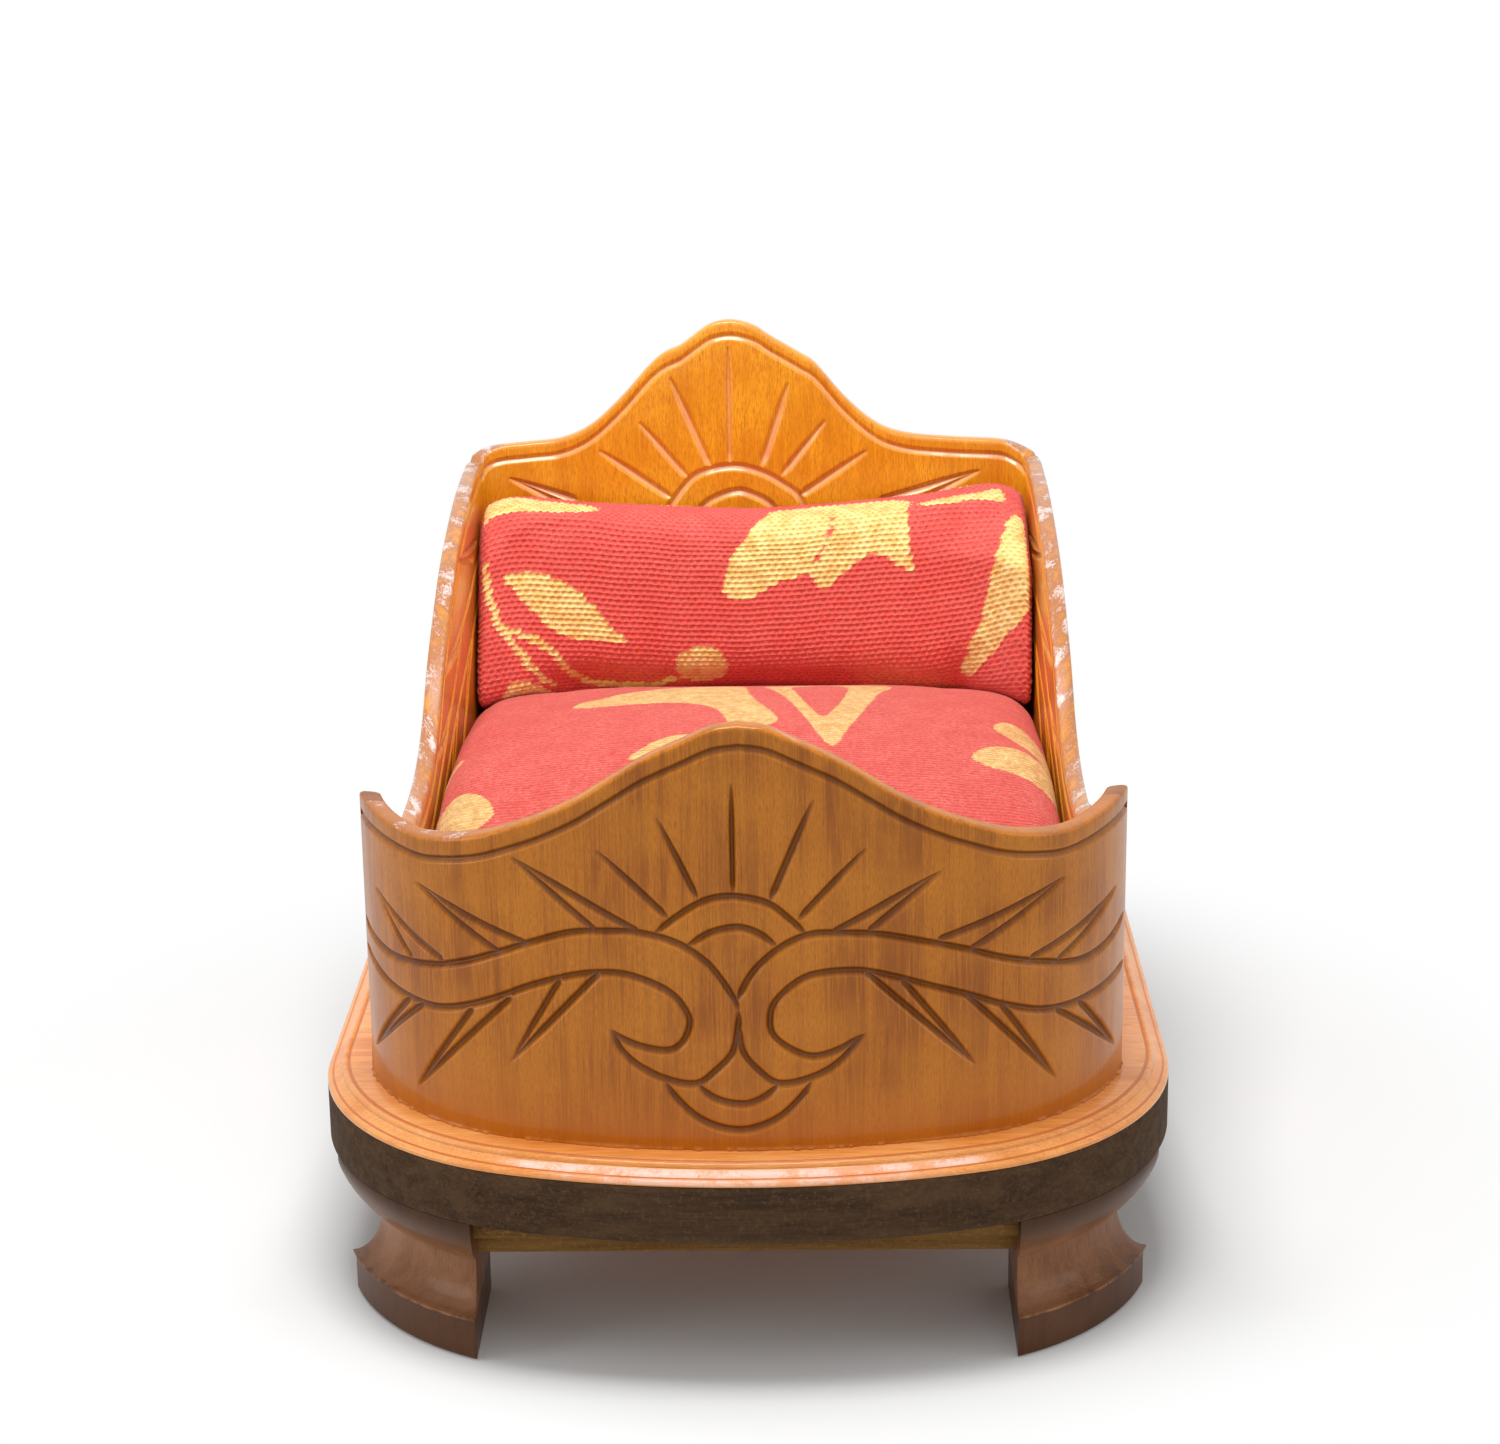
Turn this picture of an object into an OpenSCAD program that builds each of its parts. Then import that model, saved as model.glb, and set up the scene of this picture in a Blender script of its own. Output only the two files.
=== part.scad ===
// Doll-size bed: a bent plywood footboard and a bent plywood headboard-and-sides shell
// stand on a moulded base board, carried by a dark frame on four ogee bracket feet.
// Millimetres, +Z up. The head of the bed lies toward +Y, and the origin is on the
// floor, under the middle of the base.

/* [Footboard] */
// How far the footboard's round corners stand out past the sides of the shell
foot_overhang = 8.5; // [7:0.5:16]
// How far the footboard bows out in front of its two ends
foot_bow = 58.5; // [54:0.5:66]
// Radius of the long front curve
front_r = 218; // [190:1:260]
// Radius of the two round corners
corner_r = 68; // [60:0.5:72]
// Thickness of the footboard
foot_t = 6; // [4:0.5:8]
// Height of the footboard's middle
foot_peak_h = 120.7; // [105:0.5:140]
// Height of the low stretch beside the middle
foot_low_h = 83; // [75:0.5:95]
// How much the two ends rise above the low stretch
foot_ear_rise = 1.8; // [0:0.1:6]
// Half the width of the wave in the footboard's top
foot_wave_half_w = 90; // [80:1:98]

/* [Headboard and sides] */
// Half the outer width of the shell
shell_half_w = 101.5; // [92:0.5:112]
// Distance from the footboard's ends to the back of the headboard
shell_l = 262; // [220:1:300]
// Thickness of the shell
shell_t = 5.5; // [4:0.5:8]
// Outer radius of the shell's two back corners
shell_corner_r = 14; // [10:0.5:24]
// Height of the crest
crest_h = 172.5; // [150:0.5:200]
// Height of the shoulders beside the crest
shoulder_h = 129.5; // [115:0.5:145]
// How far the shoulders fall toward the back corners
shoulder_fall = 5.5; // [0:0.5:8]
// Half the width of the crest's wave
crest_half_w = 70; // [60:1:80]
// Sideways place of the crest, cut by eye on the real bed
crest_shift = -7; // [-10:0.5:10]
// Height of the side walls at their low stretch near the foot
side_low_h = 65.5; // [58:0.5:72]
// Height of the side walls' ends, behind the footboard
side_tip_h = 48; // [40:0.5:56]
// Where the side walls start to rise, from the footboard's ends
side_rise_start = 55; // [45:1:70]
// Where the side walls reach the shoulders, in front of the back
side_rise_end = 12; // [8:0.5:20]

/* [Base] */
// Flat ledge around the footboard
ledge_w = 7.5; // [5:0.5:12]
// Width of the moulded rim
rim_w = 5.5; // [5:0.5:8]
// Thickness of the base board
board_t = 5; // [4.5:0.5:8]
// Radius of the base's two back corners
back_corner_r = 40; // [32:1:48]
// Height of the frame under the base board
frame_h = 17; // [12:0.5:24]
// How far the frame reaches inside the middle of the shell's walls
frame_reach = 5.75; // [5:0.25:12]

/* [Feet and battens] */
// Height of the feet under the frame
foot_h = 44; // [36:0.5:60]
// Width of a foot, from the side of the base to its inner face
foot_w = 47.5; // [44:0.5:54]
// Where the front feet end along the sides, from the footboard's ends
front_foot_end = 9; // [4:0.5:12]
// Length of the back feet along the sides
back_foot_l = 49; // [44:0.5:56]
// How far the feet stand back from the frame's face
foot_setback = 3; // [1:0.5:5]
// Height of the straight band at the top of a foot
foot_band_h = 8.5; // [6:0.5:12]
// How deep the neck of a foot is cut in behind its band
neck_cut = 9; // [6:0.5:12]
// Height of the convex curve from the band to the neck
ogee_h = 13; // [10:0.5:15]
// Height of the cove from the neck to the ridge
cove_h = 9.5; // [7:0.5:11]
// How far the ridge stands back behind the band
ridge_setback = 0.5; // [0:0.1:2]
// Height of one batten
batten_h = 8; // [6:0.5:10]
// Depth of one batten, front to back
batten_d = 20; // [16:0.5:26]
// How far the lower batten stands back behind the upper one
batten_step = 8; // [4:0.5:10]
// Distance from the base's front to the front batten
front_batten_in = 21.5; // [18:0.5:26]
// Distance from the base's back to the back batten
back_batten_in = 15; // [12:0.5:20]

/* [Screws] */
// Radius of a screw's shank
screw_r = 1.4; // [1:0.1:1.8]
// Radius of a screw's head
head_r = 2.7; // [2.2:0.1:3.2]
// Height of a screw's head
head_h = 1.8; // [1.4:0.1:2.4]
// How far a wall screw reaches into the walls
wall_bite = 18; // [12:1:24]
// How far a foot screw reaches into a foot
foot_bite = 15; // [10:1:24]
// How far a batten screw reaches into the frame
batten_bite = 10; // [6:1:11]
// Clearance round a screw
screw_gap = 0.1; // [0.05:0.05:0.2]

/* [Mattress and pillow] */
// Clearance between the mattress and the walls
mattress_gap = 0.6; // [0.4:0.1:2]
// Height of the mattress at the middle of its long edges
mattress_edge_h = 56; // [46:0.5:58]
// Rise of the mattress's crown above its long edges
mattress_crown = 11; // [6:0.5:14]
// How far the mattress falls toward its two ends
mattress_fall = 27; // [16:0.5:30]
// Radius of the mattress's front corners
mattress_front_r = 48; // [48:0.5:56]
// Radius of the mattress's back corners
mattress_back_r = 40; // [34:0.5:46]
// How far the mattress's long sides are drawn in
mattress_draw = 1.2; // [0:0.1:3]
// Height of the pillow at its two ends
pillow_h = 73; // [60:0.5:80]
// How far the pillow's top sags in the middle
pillow_sag = 8; // [0:0.5:12]
// Thickness of the pillow
pillow_t = 33; // [24:0.5:40]
// How far the top of the pillow leans toward the headboard
pillow_lean = 11; // [0:0.5:16]
// Clearance between the pillow and the walls
pillow_gap = 0.6; // [0.4:0.1:2]

/* [Hidden] */
$fn = 128;

honey = [0.72, 0.42, 0.17];
dark_brown = [0.24, 0.16, 0.11];
raw_wood = [0.63, 0.47, 0.24];
red_cloth = [0.78, 0.20, 0.20];
steel = [0.70, 0.70, 0.72];

// The hair of room between glued faces that are curved
glue_gap = 0.05;
// More than the bed measures in any direction, for cutting shapes
beyond = 600;

// The base's outline lies this far outside the footboard
base_out = ledge_w + rim_w;
foot_half_w = shell_half_w + foot_overhang;
base_half_w = foot_half_w + base_out;
base_front = -foot_bow - base_out;
base_back = shell_l + base_out;
side_end = base_back - back_corner_r;
base_z = foot_h + frame_h + board_t;
frame_top = -board_t;
frame_low = -board_t - frame_h;
frame_w = base_half_w - shell_half_w + shell_t / 2 + frame_reach;
foot_inner_x = base_half_w - foot_w;
origin_y = -(base_front + base_back) / 2;

// Centres of the front curve and of the round corners that run into it
front_c = -foot_bow + front_r;
corner_x = foot_half_w - corner_r;
corner_y = front_c - sqrt(pow(front_r - corner_r, 2) - corner_x * corner_x);
corner_a = asin(corner_x / (front_r - corner_r));

// Puts a piece, drawn from the footboard's ends and the top of the base board, in its place
module placed() {
    translate([0, origin_y, base_z]) children();
}

// A smooth curve through points, as Catmull and Rom's spline, with n steps between two points
function spline_at(a, b, c, d, t) =
    0.5 * (2 * b + (c - a) * t + (2 * a - 5 * b + 4 * c - d) * t * t
    + (3 * b - a - 3 * c + d) * t * t * t);
function smooth(p, n) = concat(
    [for (i = [0 : len(p) - 2], k = [0 : n - 1])
        spline_at(p[max(i - 1, 0)], p[i], p[i + 1], p[min(i + 2, len(p) - 1)], k / n)],
    [p[len(p) - 1]]);

// The bowed front outline, grown or shrunk by out, filled back to the line y = back
module front_plan(out, back) {
    reach = front_r + out;
    intersection() {
        translate([0, front_c]) circle(r = reach);
        polygon([[0, front_c], [-reach * 2 * sin(corner_a), front_c - reach * 2 * cos(corner_a)],
            [reach * 2 * sin(corner_a), front_c - reach * 2 * cos(corner_a)]]);
        translate([-beyond, -beyond]) square([2 * beyond, beyond + back]);
    }
    intersection() {
        union() {
            for (side = [-1, 1]) translate([side * corner_x, corner_y]) circle(r = corner_r + out);
            polygon([[-corner_x, corner_y], [0, corner_y - corner_r - out], [corner_x, corner_y],
                [corner_x, front_c], [-corner_x, front_c]]);
        }
        translate([-beyond, -beyond]) square([2 * beyond, beyond + back]);
    }
}

// The whole outline of the base, drawn in by inset
module base_plan(inset) {
    half_w = base_half_w - inset;
    back_r = back_corner_r - inset;
    front_plan(base_out - inset, corner_y + 5);
    polygon([[-half_w, corner_y], [half_w, corner_y], [half_w, side_end], [-half_w, side_end]]);
    translate([-half_w + back_r, side_end - 1]) square([2 * (half_w - back_r), back_r + 1]);
    for (side = [-1, 1]) translate([side * (half_w - back_r), side_end]) circle(r = back_r);
}

// Keeps what stands over a polygon of the plan
module over(points) {
    intersection() {
        children();
        translate([0, 0, -beyond]) linear_extrude(2 * beyond) polygon(points);
    }
}

// Carries a profile all round the base: its x = 0 follows the outline, and its y is the height
module sweep_base() {
    // The seam between the front curve and a round corner runs from the centre to this point
    seam_end = [corner_x / (front_c - corner_y) * (front_c + beyond), -beyond];
    over([[0, front_c], [-seam_end[0], seam_end[1]], seam_end])
        translate([0, front_c]) rotate_extrude() translate([front_r + base_out, 0]) children();
    for (flip = [0, 1]) mirror([flip, 0, 0]) {
        over([[0, front_c], seam_end, [beyond, -beyond], [beyond, corner_y], [corner_x, corner_y]])
            translate([corner_x, corner_y]) rotate_extrude()
                translate([corner_r + base_out, 0]) children();
        over([[0, corner_y], [beyond, corner_y], [beyond, side_end], [0, side_end]])
            translate([base_half_w, side_end, 0]) rotate([90, 0, 0])
                linear_extrude(side_end) children();
        translate([base_half_w - back_corner_r, side_end])
            rotate_extrude(angle = 90) translate([back_corner_r, 0]) children();
    }
    translate([back_corner_r - base_half_w, base_back, 0]) rotate([90, 0, 90])
        linear_extrude(2 * (base_half_w - back_corner_r)) children();
}

// What the moulding takes off the board's edge. It leaves a small ovolo, a cove and a bead,
// with a fillet between each two, over a narrow upright land.
module rim_cut() {
    fillet = 0.3;
    ovolo = 1.2;
    bead = 1.3;
    land = 0.4;
    cove_w = rim_w - ovolo - bead - fillet;
    cove_d = board_t - land - ovolo - bead - 2 * fillet;
    polygon(concat(
        [[2, land - board_t], [2, 1], [-rim_w, 1]],
        [for (a = [0 : 15 : 90]) [-rim_w + ovolo * sin(a), ovolo * (cos(a) - 1)]],
        [for (a = [0 : 15 : 90])
            [-rim_w + ovolo + cove_w * (1 - cos(a)), -ovolo - fillet - cove_d * sin(a)]],
        [for (a = [0 : 15 : 90]) [-bead + bead * sin(a), land - board_t + bead * cos(a)]]));
}

module base_board() {
    color(honey) placed() difference() {
        translate([0, 0, -board_t]) linear_extrude(board_t) base_plan(0);
        sweep_base() rim_cut();
        wall_screw_holes();
    }
}

// The ring of the frame, cut to the stretch from y = low to y = high
module frame_stretch(low, high) {
    difference() {
        translate([0, 0, frame_low]) linear_extrude(frame_h) intersection() {
            difference() {
                base_plan(0);
                base_plan(frame_w);
            }
            translate([-beyond, low]) square([2 * beyond, high - low]);
        }
        wall_screw_holes();
        foot_screw_holes();
        batten_screw_holes();
    }
}

module frame_side(side) {
    color(dark_brown) placed() intersection() {
        frame_stretch(corner_y, side_end);
        translate([side > 0 ? 0 : -beyond, -beyond, -beyond]) cube([beyond, 2 * beyond, 2 * beyond]);
    }
}

module frame_front() {
    color(dark_brown) placed() frame_stretch(-beyond, corner_y);
}

module frame_left() {
    frame_side(-1);
}

module frame_right() {
    frame_side(1);
}

module frame_back() {
    color(dark_brown) placed() frame_stretch(side_end, base_back + 1);
}

// The outline of a foot: straight band, convex curve to the neck, cove to the ridge, pad
module foot_profile(depth) {
    neck = -foot_setback - neck_cut;
    ridge = -foot_setback - ridge_setback;
    neck_z = -foot_band_h - ogee_h;
    ridge_z = neck_z - cove_h;
    lip = 0.8;
    polygon(concat(
        [[-depth, -foot_h], [-depth, 0], [-foot_setback, 0]],
        [for (a = [0 : 10 : 90])
            [neck + neck_cut * cos(a), -foot_band_h - ogee_h * sin(a)]],
        [for (a = [10 : 10 : 90]) [ridge - (ridge - neck) * cos(a), neck_z - cove_h * sin(a)]],
        [[ridge, ridge_z - lip], [ridge - lip, ridge_z - 2 * lip], [ridge - lip, 1 - foot_h],
            [ridge - lip - 1, -foot_h]]));
}

module foot_front_right() {
    depth = corner_r + base_out + 3
        - norm([foot_inner_x - corner_x, front_foot_end + corner_y]);
    color(dark_brown) placed() difference() {
        intersection() {
            translate([corner_x, corner_y, frame_low]) rotate([0, 0, corner_a - 90])
                rotate_extrude(angle = 90 - corner_a) translate([corner_r + base_out, 0])
                    foot_profile(depth);
            translate([foot_inner_x, -beyond, -beyond])
                cube([beyond, beyond - front_foot_end, 2 * beyond]);
        }
        foot_screw_holes();
    }
}

module foot_front_left() {
    mirror([1, 0, 0]) foot_front_right();
}

module foot_back_right() {
    depth = back_corner_r - 1;
    color(dark_brown) placed() difference() {
        intersection() {
            union() {
                translate([base_half_w - back_corner_r, side_end, frame_low])
                    rotate_extrude(angle = 90) translate([back_corner_r, 0]) foot_profile(depth);
                translate([base_half_w, side_end, frame_low])
                    rotate([90, 0, 0]) linear_extrude(back_foot_l) foot_profile(base_half_w - foot_inner_x);
                translate([0, base_back, frame_low]) rotate([90, 0, 90])
                    linear_extrude(base_half_w - back_corner_r) foot_profile(back_foot_l);
                translate([foot_inner_x, base_back - back_foot_l, frame_low - foot_h])
                    cube([base_half_w - back_corner_r + 1 - foot_inner_x,
                        back_foot_l - back_corner_r + 1, foot_h]);
            }
            translate([foot_inner_x, base_back - back_foot_l, -beyond])
                cube([beyond, beyond, 2 * beyond]);
        }
        foot_screw_holes();
    }
}

module foot_back_left() {
    mirror([1, 0, 0]) foot_back_right();
}

// One batten between two feet: front is the y of its front face, level counts from the frame
module batten(front, level) {
    color(raw_wood) placed() difference() {
        translate([-foot_inner_x, front, frame_low - level * batten_h])
            cube([2 * foot_inner_x, batten_d, batten_h]);
        batten_screw_holes();
    }
}

module batten_front_upper() {
    batten(base_front + front_batten_in, 1);
}

module batten_front_lower() {
    batten(base_front + front_batten_in + batten_step, 2);
}

module batten_back_upper() {
    batten(base_back - back_batten_in - batten_d, 1);
}

module batten_back_lower() {
    batten(base_back - back_batten_in - batten_d - batten_step, 2);
}

// The wave in the top of the footboard, as shares of its half width and of its height
foot_wave = [[0, 1], [0.08, 0.97], [0.17, 0.87], [0.28, 0.74], [0.38, 0.585], [0.48, 0.425],
    [0.59, 0.285], [0.69, 0.185], [0.79, 0.095], [0.9, 0.03], [1, 0]];
foot_half_top = concat(
    [for (p = foot_wave)
        [p[0] * foot_wave_half_w, foot_low_h + p[1] * (foot_peak_h - foot_low_h)]],
    [[foot_half_w - 3, foot_low_h + foot_ear_rise], [foot_half_w + 6, foot_low_h + foot_ear_rise]]);

module footboard() {
    top = smooth(foot_half_top, 4);
    color(honey) placed() difference() {
        intersection() {
            linear_extrude(foot_peak_h + 1) difference() {
                front_plan(0, 0);
                front_plan(-foot_t, 1);
            }
            for (flip = [0, 1]) mirror([flip, 0, 0])
                rotate([90, 0, 0]) linear_extrude(beyond)
                    polygon(concat([[-0.01, -1], [-0.01, foot_peak_h]], top, [[foot_half_w + 6, -1]]));
        }
        wall_screw_holes();
    }
}

// The crest of the headboard, as shares of its half width and of its height
crest_wave = [[0, 1], [0.1, 0.97], [0.2, 0.86], [0.3, 0.765], [0.4, 0.655], [0.51, 0.46],
    [0.63, 0.26], [0.74, 0.13], [0.86, 0.05], [1, 0.01]];
// The rise of the side walls, as shares of its length and of its height
side_wave = [[0, 0], [0.1, 0.05], [0.2, 0.18], [0.3, 0.41], [0.41, 0.595], [0.52, 0.75],
    [0.66, 0.875], [0.82, 0.965], [1, 1]];

function crest_points() = let (last = len(crest_wave) - 1, rise = crest_h - shoulder_h) concat(
    [[-shell_half_w - 2, shoulder_h - shoulder_fall]],
    [for (i = [last : -1 : 1]) [crest_shift - crest_wave[i][0] * crest_half_w,
        shoulder_h + crest_wave[i][1] * rise]],
    [for (p = crest_wave) [crest_shift + p[0] * crest_half_w, shoulder_h + p[1] * rise]],
    [[shell_half_w + 2, shoulder_h - shoulder_fall]]);

function side_points() = let (
        rise_l = shell_l - side_rise_end - side_rise_start,
        rise_h = shoulder_h - shoulder_fall - side_low_h)
    concat(
        [[-20, side_tip_h], [-2, side_tip_h + 1], [8, side_tip_h + 5], [17, side_low_h - 4],
            [26, side_low_h - 0.6]],
        [for (p = side_wave) [side_rise_start + p[0] * rise_l, side_low_h + p[1] * rise_h]]);

module headboard_shell() {
    inner_w = shell_half_w - shell_t;
    inner_r = shell_corner_r - shell_t;
    color(honey) placed() difference() {
        intersection() {
            linear_extrude(crest_h + 1) difference() {
                rounded_back(shell_half_w, shell_l, shell_corner_r);
                rounded_back(inner_w, shell_l - shell_t, inner_r);
            }
            linear_extrude(crest_h + 1) union() {
                front_plan(-foot_t - glue_gap, corner_y);
                translate([-shell_half_w - 1, 0]) square([2 * shell_half_w + 2, shell_l + 1]);
            }
            translate([0, shell_l + 1, 0]) rotate([90, 0, 0]) linear_extrude(beyond)
                polygon(concat([[-shell_half_w - 2, -1]], smooth(crest_points(), 4),
                    [[shell_half_w + 2, -1]]));
            translate([-shell_half_w - 1, 0, 0]) rotate([90, 0, 90])
                linear_extrude(2 * shell_half_w + 2)
                    polygon(concat([[-beyond, -1], [-beyond, side_tip_h]], smooth(side_points(), 4),
                        [[shell_l - side_rise_end, crest_h + 2], [shell_l + 1, crest_h + 2],
                            [shell_l + 1, -1]]));
        }
        wall_screw_holes();
    }
}

// A strip open to the front that ends in two round corners at y = back
module rounded_back(half_w, back, r) {
    translate([-half_w, -beyond]) square([2 * half_w, beyond + back - r]);
    translate([r - half_w, 0]) square([2 * (half_w - r), back]);
    for (side = [-1, 1]) translate([side * (half_w - r), back - r]) circle(r = r);
}

// A screw that points up: the seat of its head is at z = 0, and its tip is a short cone
screw_tip_l = 1.5;
screw_tip_r = 0.3;
module screw(length) {
    translate([0, 0, -head_h]) cylinder(r = head_r, h = head_h);
    cylinder(r = screw_r, h = length - screw_tip_l);
    translate([0, 0, length - screw_tip_l])
        cylinder(r1 = screw_r, r2 = screw_tip_r, h = screw_tip_l);
}

// Its hole, with the counterbore that takes the head
module screw_hole(length) {
    translate([0, 0, -beyond]) cylinder(r = head_r + screw_gap, h = beyond);
    translate([0, 0, -1]) cylinder(r = screw_r + screw_gap, h = length + 1 + screw_gap);
}

// Places of the screws that hold the walls, on the middle line of each wall
foot_wall_mid = foot_t / 2;
shell_wall_mid = shell_half_w - shell_t / 2;
back_screw_x = 0.6 * shell_half_w;
wall_screw_xy = concat(
    [for (a = [-9, 0, 9])
        [(front_r - foot_wall_mid) * sin(a), front_c - (front_r - foot_wall_mid) * cos(a)]],
    [for (side = [-1, 1]) [side * (corner_x + (corner_r - foot_wall_mid) * sin(50)),
        corner_y - (corner_r - foot_wall_mid) * cos(50)]],
    [for (side = [-1, 1], share = [0.15, 0.45, 0.75]) [side * shell_wall_mid, share * shell_l]],
    [for (x = [-back_screw_x, 0, back_screw_x]) [x, shell_l - shell_t / 2]]);
wall_screw_seat = frame_low + head_h;
wall_screw_l = frame_h - head_h + board_t + wall_bite;

module wall_screw_holes() {
    for (p = wall_screw_xy) translate([p[0], p[1], wall_screw_seat]) screw_hole(wall_screw_l);
}

module wall_screws() {
    color(steel) placed()
        for (p = wall_screw_xy) translate([p[0], p[1], wall_screw_seat]) screw(wall_screw_l);
}

// Places of the screws that go down through the frame into the feet
foot_screw_in = 20;
foot_screw_right = concat(
    [for (a = [41, 62]) [corner_x + (corner_r + base_out - foot_screw_in) * sin(a),
        corner_y - (corner_r + base_out - foot_screw_in) * cos(a)]],
    [for (a = [22, 68]) [base_half_w - back_corner_r + (back_corner_r - foot_screw_in) * cos(a),
        side_end + (back_corner_r - foot_screw_in) * sin(a)]]);
foot_screw_xy = [for (p = foot_screw_right, side = [-1, 1]) [side * p[0], p[1]]];
foot_screw_seat = frame_top - head_h;
foot_screw_l = frame_h - head_h + foot_bite;

module foot_screw_holes() {
    for (p = foot_screw_xy)
        translate([p[0], p[1], foot_screw_seat]) mirror([0, 0, 1]) screw_hole(foot_screw_l);
}

module foot_screws() {
    color(steel) placed() for (p = foot_screw_xy)
        translate([p[0], p[1], foot_screw_seat]) mirror([0, 0, 1]) screw(foot_screw_l);
}

// Places of the screws that go up through both battens into the frame
batten_screw_x = foot_inner_x - 13.5;
batten_screw_y = [base_front + front_batten_in + batten_step + 3,
    base_back - back_batten_in - batten_step - 3];
batten_screw_xy = [for (x = [-batten_screw_x, batten_screw_x], y = batten_screw_y) [x, y]];
batten_screw_seat = frame_low - 2 * batten_h + head_h;
batten_screw_l = 2 * batten_h - head_h + batten_bite;

module batten_screw_holes() {
    for (p = batten_screw_xy) translate([p[0], p[1], batten_screw_seat]) screw_hole(batten_screw_l);
}

module batten_screws() {
    color(steel) placed()
        for (p = batten_screw_xy) translate([p[0], p[1], batten_screw_seat]) screw(batten_screw_l);
}

// The mattress fills the floor of the bed. Its rings run round it from the bottom to the crown.
mattress_half_w = shell_half_w - shell_t - mattress_gap;
mattress_bow = foot_bow - foot_t - mattress_gap;
mattress_r = front_r - foot_t - mattress_gap;
mattress_back = shell_l - shell_t - mattress_gap;
mattress_corner = [mattress_half_w - mattress_front_r,
    front_c - sqrt(pow(mattress_r - mattress_front_r, 2)
        - pow(mattress_half_w - mattress_front_r, 2))];
mattress_corner_a = asin(mattress_corner[0] / (mattress_r - mattress_front_r));
mattress_mid = (mattress_back - mattress_bow) / 2;
mattress_half_l = (mattress_back + mattress_bow) / 2;

// Right half of the mattress's outline, drawn in by inset, from the front to the back
function mattress_half(inset) = concat(
    [for (a = [0 : mattress_corner_a / 4 : mattress_corner_a - 0.01])
        [(mattress_r - inset) * sin(a), front_c - (mattress_r - inset) * cos(a)]],
    [for (k = [0 : 5]) let (a = mattress_corner_a + k * (90 - mattress_corner_a) / 5)
        [mattress_corner[0] + (mattress_front_r - inset) * sin(a),
            mattress_corner[1] - (mattress_front_r - inset) * cos(a)]],
    [for (k = [1 : 4]) let (y = mattress_corner[1]
            + k / 5 * (mattress_back - mattress_back_r - mattress_corner[1]))
        [mattress_half_w - inset, y]],
    [for (k = [0 : 5]) let (a = k * 18)
        [mattress_half_w - mattress_back_r + (mattress_back_r - inset) * cos(a),
            mattress_back - mattress_back_r + (mattress_back_r - inset) * sin(a)]]);

// The long sides are drawn in between the corners
function drawn_in(p) = let (v = (p[1] - mattress_mid) / mattress_half_l)
    [p[0] - sign(p[0]) * mattress_draw * max(0, 1 - pow(v, 4)) * min(1, abs(p[0]) / mattress_half_w),
        p[1]];

function mattress_ring(inset) = let (
        half = mattress_half(inset),
        back_half = [for (i = [len(half) - 1 : -1 : 1]) [-half[i][0], half[i][1]]])
    [for (p = concat(half, back_half)) drawn_in(p)];

// Height of the mattress's top at a point, before its edge is rounded
function mattress_top(x, y) = let (v = (y - mattress_mid) / mattress_half_l)
    mattress_edge_h - mattress_fall * v * v
    + mattress_crown * max(0, 1 - pow(x / mattress_half_w, 2)) * max(0, 1 - pow(v, 4));

// Each layer: how far it is drawn in, its share of the top's height, and what that adds to
mattress_layers = [[7, 0, 0.3], [2.5, 0, 1.5], [0.6, 0, 6], [0, 0.4, 0], [0, 0.7, 0],
    [0, 1, -5], [1.6, 1, -2.5], [6, 1, -0.7], [12, 1, 0]];
mattress_shares = [0.72, 0.45, 0.2];

module mattress() {
    low = mattress_layers;
    inner = mattress_ring(low[len(low) - 1][0]);
    rings = concat(
        [for (l = low) [for (p = mattress_ring(l[0]))
            [p[0], p[1], l[1] * mattress_top(p[0], p[1]) + l[2]]]],
        [for (s = mattress_shares) [for (p = inner)
            let (x = p[0] * s, y = mattress_mid + (p[1] - mattress_mid) * s)
            [x, y, mattress_top(x, y)]]]);
    color(red_cloth) placed() ring_solid(rings, [0, mattress_mid, 0.3],
        [0, mattress_mid, mattress_top(0, mattress_mid)]);
}

// A closed solid through rings of points that run the same way round, with a point at each end
module ring_solid(rings, first, last) {
    n = len(rings[0]);
    m = len(rings);
    points = concat([for (r = rings, p = r) p], [first, last]);
    polyhedron(points, concat(
        [for (j = [0 : m - 2], i = [0 : n - 1]) let (k = (i + 1) % n)
            [j * n + i, (j + 1) * n + i, (j + 1) * n + k]],
        [for (j = [0 : m - 2], i = [0 : n - 1]) let (k = (i + 1) % n)
            [j * n + i, (j + 1) * n + k, j * n + k]],
        [for (i = [0 : n - 1]) [m * n, i, (i + 1) % n]],
        [for (i = [0 : n - 1]) [m * n + 1, (m - 1) * n + (i + 1) % n, (m - 1) * n + i]]));
}

// The pillow lies across the head of the mattress and leans on the headboard
pillow_half_w = shell_half_w - shell_t - pillow_gap;
pillow_back = shell_l - shell_t - pillow_gap;
pillow_y = pillow_back - pillow_t / 2 - pillow_lean;
pillow_stations = [-1, -0.985, -0.95, -0.88, -0.76, -0.6, -0.42, -0.22, 0,
    0.22, 0.42, 0.6, 0.76, 0.88, 0.95, 0.985, 1];
pillow_steps = 24;

// The least share of its thickness that the pillow keeps at its two ends
pillow_end = 0.3;
// The powers that square off the pillow's cross-section, across and up
pillow_square = [0.55, 0.45];

// Height of the pillow's two lower front corners, where it rests on the mattress
pillow_foot = mattress_top(mattress_half_w, pillow_y - pillow_t / 2) + pillow_gap;
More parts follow.
